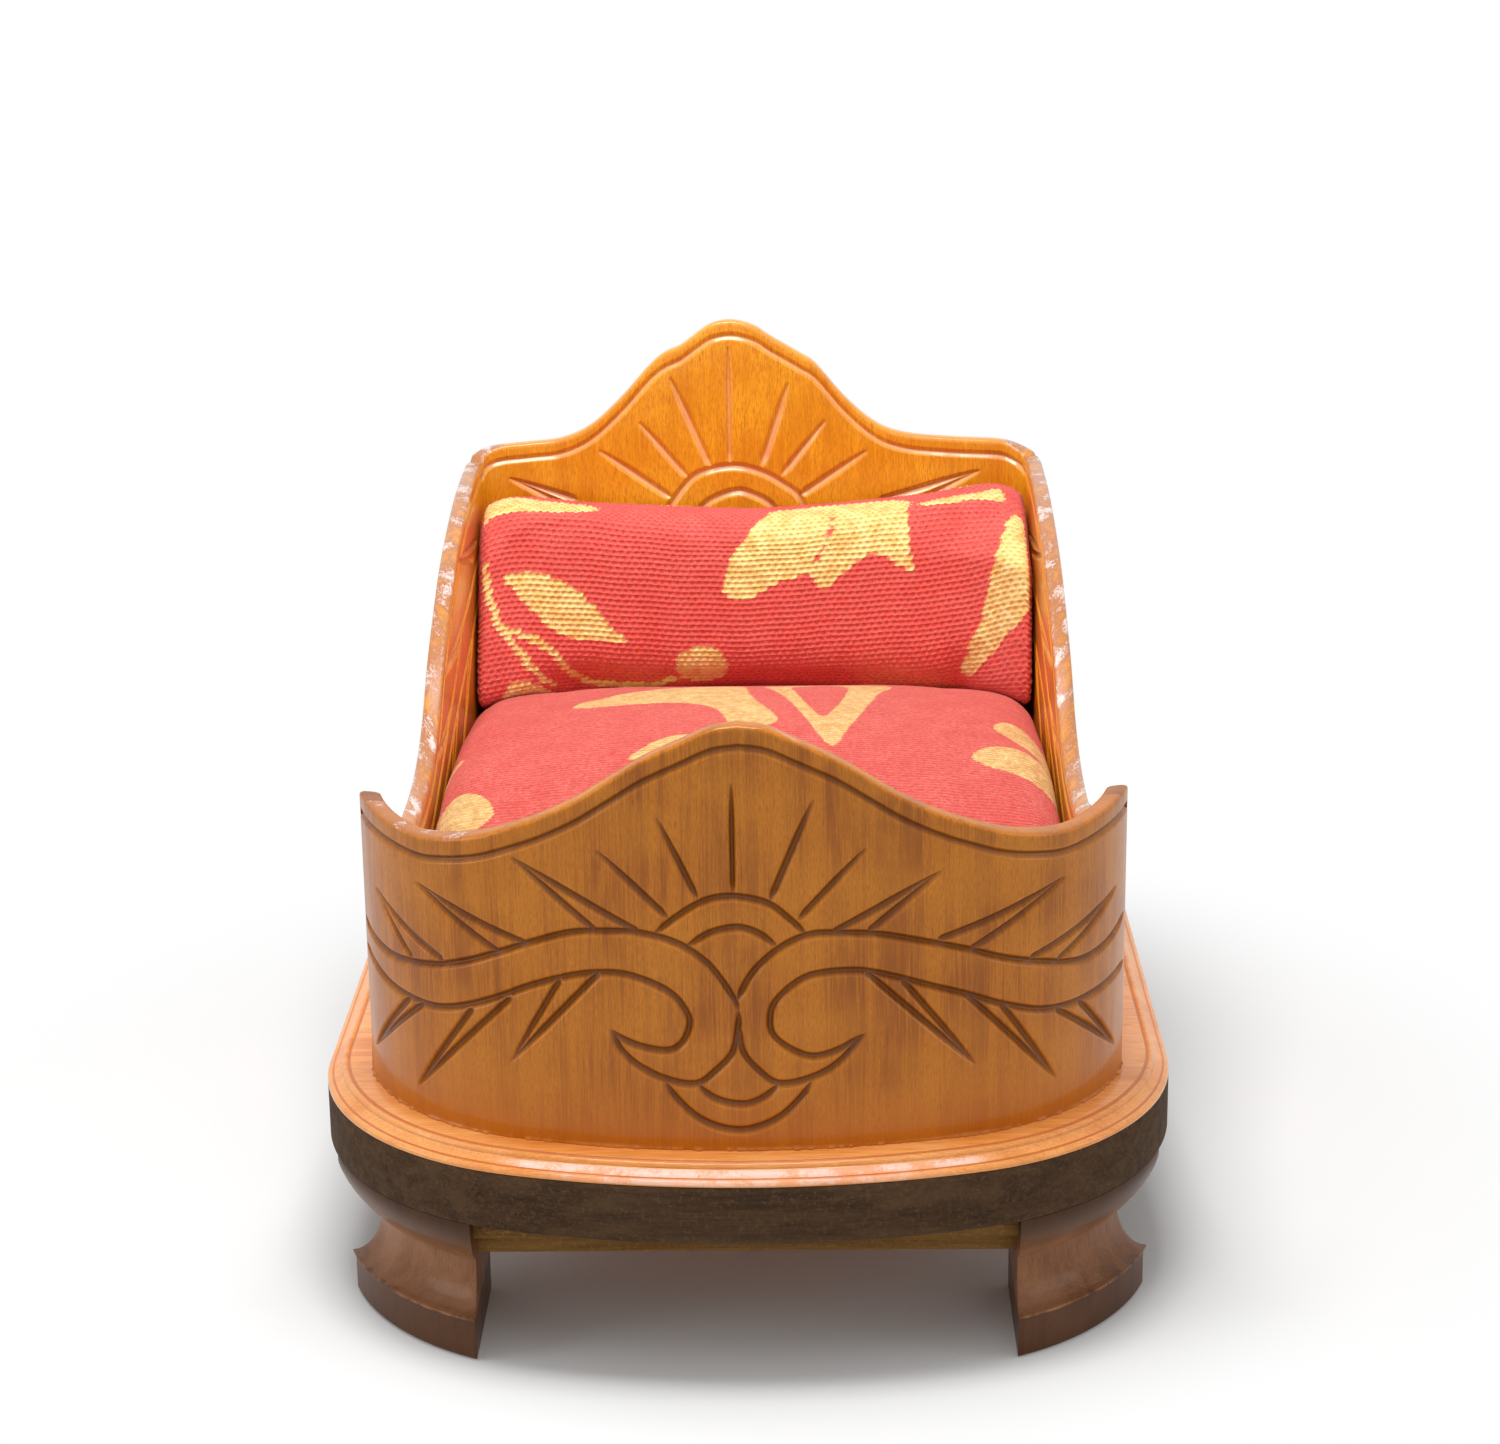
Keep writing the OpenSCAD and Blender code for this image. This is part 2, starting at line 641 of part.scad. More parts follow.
// One cross-section of the pillow at a share u of its half width
function pillow_section(u) = let (
        full = pillow_end + (1 - pillow_end) * pow(max(0, 1 - pow(abs(u), 9)), 0.22),
        x = u * pillow_half_w,
        high = pillow_foot + pillow_h - pillow_sag * (1 - pow(abs(u), 1.3)))
    [for (i = [0 : pillow_steps - 1]) let (
            a = 360 * i / pillow_steps,
            v = sign(cos(a)) * pow(abs(cos(a)), pillow_square[0]) * pillow_t / 2 * full,
            rise = sign(sin(a)) * pow(abs(sin(a)), pillow_square[1]) * (0.9 + 0.1 * full),
            w = (1 + rise) / 2,
            y = pillow_y + v + pillow_lean * w,
            low = mattress_top(x, y) + pillow_gap)
        [x, y, low + (high - low) * w]];

module pillow() {
    rings = [for (u = pillow_stations) pillow_section(u)];
    ends = [for (r = [rings[0], rings[len(rings) - 1]])
        [r[0][0], pillow_y + pillow_lean / 2, (r[0][2] + r[pillow_steps / 2][2]) / 2]];
    color(red_cloth) placed() ring_solid(rings, ends[0], ends[1]);
}

base_board();
frame_front();
frame_left();
frame_right();
frame_back();
foot_front_left();
foot_front_right();
foot_back_left();
foot_back_right();
batten_front_upper();
batten_front_lower();
batten_back_upper();
batten_back_lower();
footboard();
headboard_shell();
mattress();
pillow();
wall_screws();
foot_screws();
batten_screws();
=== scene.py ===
"""Looks of the doll-size bed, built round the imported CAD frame.

Lengths here are millimetres from the footboard's ends (Y = 0) and the top of the base
board (Z = 0), as in the part's source. place() turns them into the shared frame.
"""
import math
import bmesh
import bpy
import numpy as np
from mathutils import Matrix, Vector


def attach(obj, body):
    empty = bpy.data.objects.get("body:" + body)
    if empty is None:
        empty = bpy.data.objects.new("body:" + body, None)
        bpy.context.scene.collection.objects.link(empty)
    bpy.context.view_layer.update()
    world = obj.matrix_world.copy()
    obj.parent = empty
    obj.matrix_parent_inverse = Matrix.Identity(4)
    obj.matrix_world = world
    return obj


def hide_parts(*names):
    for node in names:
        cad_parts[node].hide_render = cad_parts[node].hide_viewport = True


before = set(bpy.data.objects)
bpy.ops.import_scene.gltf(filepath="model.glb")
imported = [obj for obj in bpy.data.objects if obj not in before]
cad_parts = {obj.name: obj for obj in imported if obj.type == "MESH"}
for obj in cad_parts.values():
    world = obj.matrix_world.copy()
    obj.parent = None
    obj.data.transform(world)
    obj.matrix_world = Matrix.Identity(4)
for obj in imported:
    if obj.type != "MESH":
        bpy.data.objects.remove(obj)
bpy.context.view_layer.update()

MM = 0.001
ORIGIN_Y, BASE_Z = -101.75, 66.0
TINY = 1e-9
WELD = 0.002        # CAD points nearer than this are one

# Sizes that the visual pieces share with the CAD part
FRONT_R, FRONT_C = 218.0, 159.5
CORNER_R, CORNER_X, CORNER_Y = 68.0, 42.0, 15.5
SEAM = math.asin(0.28)
FOOT_T, SHELL_T = 6.0, 5.5
SHELL_W, SHELL_L, SHELL_R = 101.5, 262.0, 14.0
SHELL_START, SHELL_START_IN = -1.75, -14.86     # Y of its front edges, outside and inside
BASE_OUT, BASE_W, BACK_Y, BACK_R = 13.0, 123.0, 235.0, 40.0
BOARD_T, FRAME_H, FRAME_W = 5.0, 17.0, 30.0
FRAME_LOW = -BOARD_T - FRAME_H
FOOT_INNER_X, FOOT_END_Y = 75.5, -9.0


# Points and curves

def place(points):
    """Millimetres of the part's own frame to metres of the shared frame."""
    return (np.asarray(points, float) + [0, ORIGIN_Y, BASE_Z]) * MM


def pairs(x, y):
    """Flat points from two rows of coordinates, either of which may be one number."""
    return np.stack(np.broadcast_arrays(x, y), 1)


def around(x, y, radius, angle):
    """Points round a centre, by the angle from the front (-Y) towards the right (+X)."""
    return pairs(x + radius * np.sin(angle), y - radius * np.cos(angle))


def signed_power(value, power):
    return np.sign(value) * np.abs(value) ** power


def smooth(points, steps):
    """Catmull-Rom curve through the points, with a number of steps between two of them."""
    p = np.asarray(points, float)
    p = np.vstack([2 * p[0] - p[1], p, 2 * p[-1] - p[-2]])
    t = np.linspace(0, 1, steps, endpoint=False)[:, None]
    parts = [0.5 * (2 * b + (c - a) * t + (2 * a - 5 * b + 4 * c - d) * t ** 2
                    + (3 * b - a - 3 * c + d) * t ** 3)
             for a, b, c, d in zip(p[:-3], p[1:-2], p[2:-1], p[3:])]
    return np.vstack(parts + [p[-2:-1]])


def way_along(points):
    """The length from the first point to each of them."""
    steps = np.linalg.norm(np.diff(points, axis=0), axis=1)
    return np.concatenate([[0], np.cumsum(steps)])


def off_stretch(p, a, b):
    """How far points lie from the stretch a to b, and their share of the way along it."""
    run = b - a
    t = np.clip((p - a) @ run / (run @ run + TINY), 0, 1)
    return np.linalg.norm(p - a - t[..., None] * run, axis=-1), t


# Meshes

def add_object(name, data):
    piece = bpy.data.objects.new(name, data)
    bpy.context.scene.collection.objects.link(piece)
    return piece


def read(items, key, size):
    """One property of all of a mesh's items."""
    out = np.empty(len(items) * size, np.float32)
    items.foreach_get(key, out)
    return out.astype(float).reshape(-1, size).squeeze()


def vertices_of(piece):
    """The points in millimetres, and their normals."""
    points = read(piece.data.vertices, "co", 3) / MM - [0, ORIGIN_Y, BASE_Z]
    return points, read(piece.data.vertex_normals, "vector", 3)


def set_vertices(piece, points):
    piece.data.vertices.foreach_set("co", place(points).astype(np.float32).ravel())
    piece.data.update()


def set_attribute(piece, key, values):
    """Stores one number or one vector for each point."""
    values = np.asarray(values, np.float32)
    kind, field = ("FLOAT_VECTOR", "vector") if values.ndim == 2 else ("FLOAT", "value")
    slot = piece.data.attributes.new(key, kind, "POINT")
    slot.data.foreach_set(field, values.ravel())


def make_mesh(name, verts, quads, tris, attributes):
    """A smooth-shaded object from millimetre points, with its point attributes."""
    mesh = bpy.data.meshes.new(name)
    mesh.vertices.add(len(verts))
    mesh.vertices.foreach_set("co", place(verts).astype(np.float32).ravel())
    loops = np.concatenate([quads.ravel(), tris.ravel()]).astype(np.int32)
    corners = np.repeat([4, 3], [len(quads), len(tris)])
    mesh.loops.add(len(loops))
    mesh.loops.foreach_set("vertex_index", loops)
    mesh.polygons.add(len(corners))
    mesh.polygons.foreach_set("loop_start", (np.cumsum(corners) - corners).astype(np.int32))
    mesh.update(calc_edges=True)
    mesh.polygons.foreach_set("use_smooth", np.ones(len(corners), bool))
    piece = add_object(name, mesh)
    for key, values in attributes.items():
        set_attribute(piece, key, values)
    return piece


def grid_quads(columns, rows, closed_rows=False, closed_columns=False):
    """Quads of a grid whose points are numbered column by column."""
    c = np.arange(columns if closed_columns else columns - 1)
    r = np.arange(rows if closed_rows else rows - 1)
    c, r = np.meshgrid(c, r, indexing="ij")
    c2, r2 = (c + 1) % columns, (r + 1) % rows
    quads = [c * rows + r, c2 * rows + r, c2 * rows + r2, c * rows + r2]
    return np.stack(quads, -1).reshape(-1, 4)


def fan(ring, middle):
    """Triangles from a closed ring of point numbers to the number of its middle."""
    return np.stack([ring, np.roll(ring, -1), np.full(len(ring), middle)], 1)


def loft(name, grid, attributes=None):
    """An object through closed columns of points (columns x rows x 3), with its ends capped."""
    columns, rows = grid.shape[:2]
    count = columns * rows
    verts = np.vstack([grid.reshape(-1, 3), grid[0].mean(0), grid[-1].mean(0)])
    first, last = np.arange(rows), np.arange(count - rows, count)
    tris = np.vstack([fan(first, count), fan(last, count + 1)[:, [1, 0, 2]]])
    values = {}
    for key, value in (attributes or {}).items():
        value = value.reshape(count, -1).squeeze()
        values[key] = np.concatenate([value, np.zeros((2,) + value.shape[1:])])
    return make_mesh(name, verts, grid_quads(columns, rows, closed_rows=True), tris, values)


def bake(piece):
    """Applies the piece's modifiers."""
    graph = bpy.context.evaluated_depsgraph_get()
    graph.update()
    done = bpy.data.meshes.new_from_object(piece.evaluated_get(graph))
    piece.modifiers.clear()
    old, piece.data = piece.data, done
    bpy.data.meshes.remove(old)


def copy_of(node, name, join_flat=False):
    """A piece with a CAD node's mesh, its points welded and, if asked, its flat faces joined."""
    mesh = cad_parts[node].data.copy()
    mesh.name = name
    mesh.materials.clear()
    work = bmesh.new()
    work.from_mesh(mesh)
    bmesh.ops.remove_doubles(work, verts=work.verts, dist=WELD * MM)
    if join_flat:
        bmesh.ops.dissolve_limit(work, angle_limit=math.radians(1.0), verts=work.verts,
                                 edges=work.edges)
    work.to_mesh(mesh)
    work.free()
    return add_object(name, mesh)


# Carving

CUT_END = 0.28      # the share of its width and depth that a cut keeps at its very ends
CUT_BLUNT = 0.15    # and how far over its ends it is thought to run
WEDGE_ON = 1.6      # how far a leaf's cuts run on into the band's own cut
WEDGE_UNDER = 0.8   # the same for the leaves under a band, which must not show above it
CARVED_LEFT = 1.4   # the footboard's carving stands this far to the left
BORDER_W, BORDER_DEEP = 2.9, 1.2        # the border cut under the waved tops
FOOT_BORDER, SHELL_BORDER = 6.0, 5.4    # how far it lies under them


def carve(across, up, strokes):
    """Depth of V-cut strokes at points given by two flat coordinates, columns x rows.

    A stroke is (points, width, depth, start taper, end taper), all in millimetres."""
    flat = np.dstack([across, up])
    depth = np.zeros(up.shape)
    for points, width, deep, start, end in strokes:
        curve = smooth(points, 8) if len(points) > 2 else points
        way = way_along(curve)
        for a, b, s0, s1 in zip(curve[:-1], curve[1:], way[:-1], way[1:]):
            near = np.flatnonzero((across[:, 0] > min(a[0], b[0]) - width)
                                  & (across[:, 0] < max(a[0], b[0]) + width))
            if len(near) == 0:
                continue
            there = slice(near[0], near[-1] + 1)
            off, t = off_stretch(flat[there], a, b)
            along = s0 + t * (s1 - s0)
            share = np.minimum((along + CUT_BLUNT) / start, (way[-1] - along + CUT_BLUNT) / end)
            share = CUT_END + (1 - CUT_END) * np.sqrt(np.clip(share, 0, 1))
            v = np.clip(1 - off / (0.5 * width * share), 0, 1)
            # A V with a slightly rounded bottom
            cut = deep * share * (0.7 * v + 0.3 * v * v * (3 - 2 * v))
            depth[there] = np.maximum(depth[there], cut)
    return depth


def border(up, top, slope):
    """Depth of the cut whose middle lies along top, at the heights up."""
    off = np.abs(top[:, None] - up) / np.sqrt(1 + slope[:, None] ** 2)
    return BORDER_DEEP * np.clip(1 - off / (BORDER_W / 2), 0, 1)


def line(*points, width=3.2, deep=1.5, start=4.0, end=4.0):
    """One stroke."""
    return (np.array(points, float), width, deep, start, end)


def widened(more, strokes):
    return [(points, width + more, *rest) for points, width, *rest in strokes]


def wedge(tip, one, other, on=WEDGE_ON):
    """A leaf: two cuts that run from the edge of the band to a common tip."""
    tip = np.array(tip, float)
    bases = [base + (base - tip) * on / np.linalg.norm(base - tip)
             for base in (np.array(one, float), np.array(other, float))]
    return [line(base, tip, start=1.0, end=14) for base in bases]


def ray(foot, tip, **kind):
    """A straight cut that fades towards its tip."""
    return line(foot, tip, **{"start": 3, "end": 12, **kind})


# The footboard's carving: arc length along the outer face from the middle, and height
FOOT_CUTS = [
    ray((-0.5, 74.5), (-0.5, 104.5), width=2.4, end=10),
    ray((-10, 72.5), (-20.5, 95)),
    ray((-18, 67), (-36.5, 85)),
    ray((9.5, 72), (21, 99.5), width=3.6),
    ray((17, 66.5), (35, 85.5)),
    *wedge((-60.5, 81.5), (-27.5, 63.5), (-39, 63.5)),
    *wedge((-93, 69), (-58, 57.5), (-66.5, 54.5)),
    *wedge((-115.5, 61), (-85.5, 49), (-98, 47)),
    *wedge((55.5, 77.5), (27.5, 63), (37, 63)),
    *wedge((94.5, 69.5), (56.5, 58.5), (65.5, 55)),
    *wedge((122, 58.5), (84, 49), (94, 46.5)),
    # The two bands and their hooks
    line((-130, 47.5), (-122.5, 45.5), (-106.5, 44), (-89.5, 46), (-77, 49.5), (-65.5, 54),
         (-55.5, 58), (-45, 61.5), (-35.5, 62.5), (-26, 62.5), (-16, 60), (-8.5, 55), (-4, 49.5),
         (-0.5, 43.5), (0.5, 40.5)),
    line((-130, 39.5), (-122, 37.5), (-110, 35), (-99.5, 34), (-88, 34), (-77.5, 36.5), (-66, 41),
         (-56, 45.5), (-45.5, 49), (-37.5, 50.5), (-30, 50.5), (-22, 48), (-16.5, 44.5), (-13, 39),
         (-13, 35), (-15, 31), (-18.5, 29), (-24.5, 29.5), (-30.5, 31.5), (-34, 34)),
    line((-34, 34), (-31.5, 28.5), (-26.5, 24), (-19, 20.5), (-11, 19.5), (-5.5, 23.5), (-1, 29),
         (0.5, 37), (0.5, 40.5)),
    line((0, 43), (4.5, 51.5), (12, 58.5), (20, 62), (28.5, 62), (38.5, 61), (49, 58.5), (63, 54.5),
         (74, 50.5), (86, 47), (100.5, 43.5), (112, 43.5), (124, 45.5), (131, 47.5)),
    line((34.5, 32.5), (28.5, 29), (21.5, 27), (16, 28.5), (10.5, 32.5), (9, 37), (10.5, 43),
         (17, 49), (23.5, 51), (33.5, 51), (43, 48.5), (53, 45), (63, 41.5), (74, 37), (86, 33),
         (97.5, 31.5), (110, 31.5), (122, 32), (132, 32.5)),
    line((34.5, 32.5), (27, 24.5), (19, 20.5), (11, 19.5), (5.5, 23.5), (1.5, 29), (0.5, 37)),
    # Leaves under the bands
    *wedge((-123, 11.5), (-99.5, 33), (-93.5, 33), on=WEDGE_UNDER),
    *wedge((-96, 8.5), (-75, 35.5), (-63, 40.5), on=WEDGE_UNDER),
    *wedge((-62.5, 23), (-48.5, 47), (-37.5, 50), on=WEDGE_UNDER),
    *wedge((65.5, 21), (35.5, 50), (45.5, 46.8), on=WEDGE_UNDER),
    *wedge((92, 11.5), (63, 41.5), (73.5, 37), on=WEDGE_UNDER),
    *wedge((123.5, 11), (93, 31), (102.5, 30.6), on=WEDGE_UNDER),
    # Half sun above the bands, and the bowl under them
    line((-21.5, 62.5), (-16, 67), (-10, 71), (-4.5, 73), (2, 73), (9, 71), (14.5, 66.5), (19, 62)),
    line((-13, 59), (-6.5, 63), (0.5, 64.5), (6, 62.8), (11, 59)),
    line((-19.5, 19.5), (-17, 15.5), (-11.5, 10), (-5.5, 7), (0.5, 6), (6, 7), (12, 10),
         (17.5, 15.5), (20, 19.5)),
    line((-11, 19.5), (-7.5, 16), (-2.5, 14), (3, 13.7), (8, 16), (11.5, 19.5)),
]

# The headboard's carving, by X and height on its inner face
HEAD_CUTS = widened(0.1, [
    ray((-8.3, 122), (-8.3, 163), width=2.2),
    ray((-15, 120.5), (-28.5, 152)),
    ray((-23.5, 117), (-39.8, 136.5)),
    ray((-29.5, 109.5), (-54, 126.5)),
    *wedge((-86.3, 116.8), (-65, 109.6), (-69.5, 108)),
    ray((3.2, 121), (12.6, 150), width=3.4),
    ray((10.5, 117.5), (25.5, 136.5)),
    ray((16.5, 109.5), (40, 125.5)),
    *wedge((80, 118), (46.5, 108), (56, 106)),
    line((-34, 98), (-28.5, 108), (-21.5, 116.5), (-14.5, 119.5), (-5.5, 120.5), (3.5, 118),
         (10.5, 114), (16.5, 109), (20, 98)),
    line((-24, 98), (-18, 106), (-12.5, 109.5), (-5, 111.5), (2.5, 109), (7, 105.5), (11, 98)),
    *wedge((-92, 100), (-62, 93), (-72, 90)),
    *wedge((88, 99), (56, 92), (66, 89)),
])

# The side walls' carving, by distance from the footboard's ends and height
SIDE_CUTS = [
    line((246, 97), (222, 94), (202, 90), (173, 86.5), (160, 81), (135, 72), (93, 59), (60, 50),
         (20, 44)),
    line((246, 86), (222, 81), (199, 74.5), (166, 68), (130, 60), (113, 55), (80, 46), (30, 36)),
    *wedge((118, 85), (173, 87), (161, 82)),
    *wedge((82, 66.5), (125, 70), (114, 65)),
    *wedge((172, 108), (224, 102), (211, 99)),
    *wedge((150, 41), (200, 73), (186, 70)),
    *wedge((100, 26), (148, 63), (134, 60)),
]


# The two bent walls

FOOT_COLUMNS, SIDE_COLUMNS, BACK_COLUMNS = 760, 330, 440
RIM = 1.7           # height of the walls' rounded rims
RIM_POWER = 0.6     # and how square they are: 1 is a half circle
GLUE_H = 0.55       # height of the glue's bead under the footboard
SAWN_LONG = 9       # length of the bare sawn rim at each end of the footboard

# Shares of the waves' half widths or lengths and heights, as in the CAD part
FOOT_WAVE = [(0, 1), (.08, .97), (.17, .87), (.28, .74), (.38, .585), (.48, .425), (.59, .285),
             (.69, .185), (.79, .095), (.9, .03), (1, 0)]
WAVE_HALF, WAVE_LOW, WAVE_HIGH = 90, 83, 37.7
SIDE_WAVE = [(0, 0), (.1, .05), (.2, .18), (.3, .41), (.41, .595), (.52, .75), (.66, .875),
             (.82, .965), (1, 1)]
RISE_Y, RISE_LONG, RISE_LOW, RISE_HIGH = 55, 195, 65.5, 58.5
# The hand-cut top of the headboard, by X and height
CREST = [(-103.5, 122.5), (-100.5, 125.5), (-95, 128), (-79, 129.7), (-68, 131), (-57.5, 135.6),
         (-46.7, 145.2), (-36, 157), (-30.5, 161.4), (-25, 163.9), (-19.5, 167.9), (-14.5, 171.2),
         (-9, 172.5), (-4, 172.1), (1.5, 170.2), (6.5, 166.8), (17, 160.6), (22.5, 156.8),
         (33, 144.6), (43.5, 135.7), (54, 131.7), (70, 130), (87, 129), (95, 127.2), (100.5, 125),
         (103.5, 122.5)]

foot_top = smooth([(x * WAVE_HALF, WAVE_LOW + z * WAVE_HIGH) for x, z in FOOT_WAVE]
                  + [(107, 84.8), (116, 84.8)], 10)
crest_top = smooth(CREST, 8)
side_top = smooth([(-20, 48), (-2, 49), (8, 53), (17, 61.5), (26, 64.9)]
                  + [(RISE_Y + y * RISE_LONG, RISE_LOW + z * RISE_HIGH) for y, z in SIDE_WAVE]
                  + [(252, 125), (254, 131), (256, 250)], 10)


def top_of_foot(x):
    return np.interp(np.abs(x), foot_top[:, 0], foot_top[:, 1])


def top_of_shell(x, y):
    """The lower of the headboard's top and the sides' top."""
    return np.minimum(np.interp(x, crest_top[:, 0], crest_top[:, 1]),
                      np.interp(y, side_top[:, 0], side_top[:, 1]))


def wall(name, outer, inner, normal, run, tops, rows, carving, carved_inside, border_down,
         glue=0.0, sawn=0.0, worn=1.0):
    """One bent wall. The columns follow its plan, and the rows go up the outer face, over the
    rounded rim and down the inner face. tops and rows hold first the outer face's, then the
    inner face's. carving(run, up) gives the depth of the cuts on the carved face. Along the
    columns, glue is the bead's size, sawn marks a bare sawn rim and worn how much worn varnish
    and painted highlight the rim shows."""
    phi = np.linspace(0, math.pi, 15)[1:-1]
    over = (1 - signed_power(np.cos(phi), RIM_POWER)) / 2
    lift = np.sin(phi) ** RIM_POWER * RIM
    low_out, low_in = (top[:, None] - RIM for top in tops)
    z_out = low_out * rows[0]
    z = np.hstack([z_out, low_out * (1 - over) + low_in * over + lift, low_in * rows[1][::-1]])
    n_out, n_in = len(rows[0]), len(rows[1])
    share = np.concatenate([np.zeros(n_out), over, np.ones(n_in)])
    run_here = run[:, None] + 0 * z

    # The cuts go into the carved face, and the glue stands out from the outer one
    face = slice(-n_in, None) if carved_inside else slice(n_out)
    top = tops[carved_inside]
    depth = np.zeros(z.shape)
    depth[:, face] = np.maximum(carving(run_here[:, face], z[:, face]),
                                border(z[:, face], top - border_down, np.gradient(top, run)))
    out = depth.copy() if carved_inside else -depth
    out[:, :n_out] += (glue + 0 * run)[:, None] * np.exp(-(z_out / GLUE_H) ** 2)
    xy = (outer[:, None] * (1 - share[:, None]) + inner[:, None] * share[:, None]
          + out[..., None] * normal[:, None])
    grid = np.dstack([xy, z])
    # The ends are eased over the last half millimetre
    for column, ease in ((0, 0.45), (1, 0.12), (-1, 0.45), (-2, 0.12)):
        shift = np.clip(grid[column] - grid[column].mean(0), -3, 3)
        grid[column] -= shift / 3 * ease * np.array([1, 1, 0.6])

    # On the outer face a cut is darkened, most on its upper flank: partly stain, partly painted
    # shade. On the carved inner face its lower flank takes the pale cut colour, a painted highlight
    slope = np.gradient(depth, axis=1) / (np.gradient(z, axis=1) + TINY)
    upper = np.clip(0.5 - 0.7 * slope, 0, 1)
    stain = depth * (1.1 - upper if carved_inside else 0.6 + 0.6 * upper)
    on_rim = np.concatenate([np.zeros(n_out), lift / RIM, np.zeros(n_in)])
    sawn = (sawn + 0 * run)[:, None]
    return loft(name, grid, {
        "groove": np.where(on_rim > 0, on_rim * sawn, stain),
        "rim": on_rim * (1 - sawn) * (worn + 0 * run)[:, None],
        "unrolled": np.dstack([run_here, share * FOOT_T + 0 * z, z])})


def build_footboard():
    bend = math.acos(CORNER_Y / CORNER_R) - SEAM
    bend_in = math.acos(CORNER_Y / (CORNER_R - FOOT_T)) - SEAM
    half = FRONT_R * SEAM + CORNER_R * bend
    run = np.concatenate([[-half], np.linspace(-half + 0.4, half - 0.4, FOOT_COLUMNS), [half]])
    away = np.abs(run)
    front = away <= FRONT_R * SEAM
    turn = np.where(front, away / FRONT_R, SEAM + (away - FRONT_R * SEAM) / CORNER_R)
    turn_in = np.where(front, turn, SEAM + (turn - SEAM) * (bend_in / bend))
    mirror = pairs(np.sign(run), 1.0)

    def plan(angle, less):
        return np.where(front[:, None], around(0, FRONT_C, FRONT_R - less, angle),
                        around(CORNER_X, CORNER_Y, CORNER_R - less, angle)) * mirror

    outer, inner = plan(turn, 0), plan(turn_in, FOOT_T)
    # Glue that was squeezed out under the footboard, uneven along it
    chance = np.convolve(np.random.default_rng(5).random(len(run)), np.ones(4) / 4, "same")
    glue = 0.15 + 2.2 * np.clip(chance - 0.45, 0, None) + 0.15 * np.sin(run * 0.13)
    rows = np.concatenate([np.linspace(0, 0.02, 8)[:-1], np.linspace(0.02, 1, 330)])
    # The rim's worn varnish and painted highlight grow towards the footboard's ends
    return wall("footboard_carved", outer, inner, around(0, 0, 1, turn) * mirror, run,
                (top_of_foot(outer[:, 0]), top_of_foot(inner[:, 0])),
                (rows, np.linspace(0, 1, 40)),
                lambda u, up: carve(u + CARVED_LEFT, up, FOOT_CUTS), False, FOOT_BORDER,
                glue=glue, sawn=0.8 * (away > half - SAWN_LONG),
                worn=np.interp(away, [60, 95], [0.55, 1]))


def build_shell():
    flat, back = SHELL_W - SHELL_R, SHELL_L - SHELL_R
    along = np.linspace(0, 1, SIDE_COLUMNS)
    turn = -np.linspace(math.pi / 2, math.pi, 16)[1:-1]
    x_back = np.linspace(-flat, flat, BACK_COLUMNS)

    def plan(less, start):
        half = np.vstack([pairs(less - SHELL_W, start + (back - start) * along),
                          around(-flat, back, SHELL_R - less, turn)])
        return np.vstack([half, pairs(x_back, SHELL_L - less), half[::-1] * [-1, 1]])

    outer, inner = plan(0, SHELL_START), plan(SHELL_T, SHELL_START_IN)
    left, right = slice(0, len(along)), slice(len(outer) - len(along), None)
    middle = slice(len(along) + len(turn), len(along) + len(turn) + len(x_back))
    normal = (outer - inner) / SHELL_T
    top_out = top_of_shell(*outer.T)
    top_in = top_out.copy()
    for side in (left, right):
        normal[side, 1] = 0
        top_in[side] = top_of_shell(*inner[side].T)

    def carving(u, up):
        depth = np.zeros(up.shape)
        for part, axis, strokes in ((middle, 0, HEAD_CUTS), (left, 1, SIDE_CUTS),
                                    (right, 1, SIDE_CUTS)):
            depth[part] = carve(inner[part, axis][:, None] + 0 * up[part], up[part], strokes)
        return depth

    inner_rows = np.concatenate([np.linspace(0, 0.24, 24)[:-1], np.linspace(0.24, 1, 300)])
    # The rim's worn varnish and painted highlight are full on the side walls and faint on the
    # headboard's top
    return wall("headboard_shell_carved", outer, inner, normal, way_along(outer),
                (top_out, top_in), (np.linspace(0, 1, 70), inner_rows), carving, True,
                SHELL_BORDER, worn=np.interp(np.abs(outer[:, 0]), [84, 96], [0.15, 1]))


# Base board and frame

INNER_ROW = 30.0    # inset of the board's innermost row, less than the back corners' radius
COVE_SAG = 0.3
BEAD_SHEEN = 0.45    # how much painted highlight the board's bead gets, beside 1 in its cove
EASED = 0.9         # radius of the frame's lower edge
# Steps along the right half of the outline: front, corner, side, back corner and rear
N_FRONT, N_CORNER, N_SIDE, N_BACK, N_REAR = 30, 40, 40, 30, 20


def base_outline(inset):
    """Points round the base, drawn in by inset, from the middle of its front to the right."""
    right = np.vstack([
        around(0, FRONT_C, FRONT_R + BASE_OUT - inset, np.linspace(0, SEAM, N_FRONT + 1)),
        around(CORNER_X, CORNER_Y, CORNER_R + BASE_OUT - inset,
               np.linspace(SEAM, math.pi / 2, N_CORNER + 1)[1:]),
        pairs(BASE_W - inset, np.linspace(CORNER_Y, BACK_Y, N_SIDE + 1)[1:]),
        around(BASE_W - BACK_R, BACK_Y, BACK_R - inset,
               np.linspace(math.pi / 2, math.pi, N_BACK + 1)[1:]),
        pairs(np.linspace(BASE_W - BACK_R, 0, N_REAR + 1)[1:], BACK_Y + BACK_R - inset)])
    return np.vstack([right, right[1:-1][::-1] * [-1, 1]])


def sweep(profile):
    """Grid of a profile [(inset, z), ...] carried round the base: columns x rows x 3."""
    return np.stack([np.insert(base_outline(inset), 2, z, axis=1) for inset, z in profile], 1)


def arc(centre, radius_in, radius_z, start, end, n):
    a = np.radians(np.linspace(start, end, n))
    return [(centre[0] + radius_in * math.cos(t), centre[1] + radius_z * math.sin(t)) for t in a]


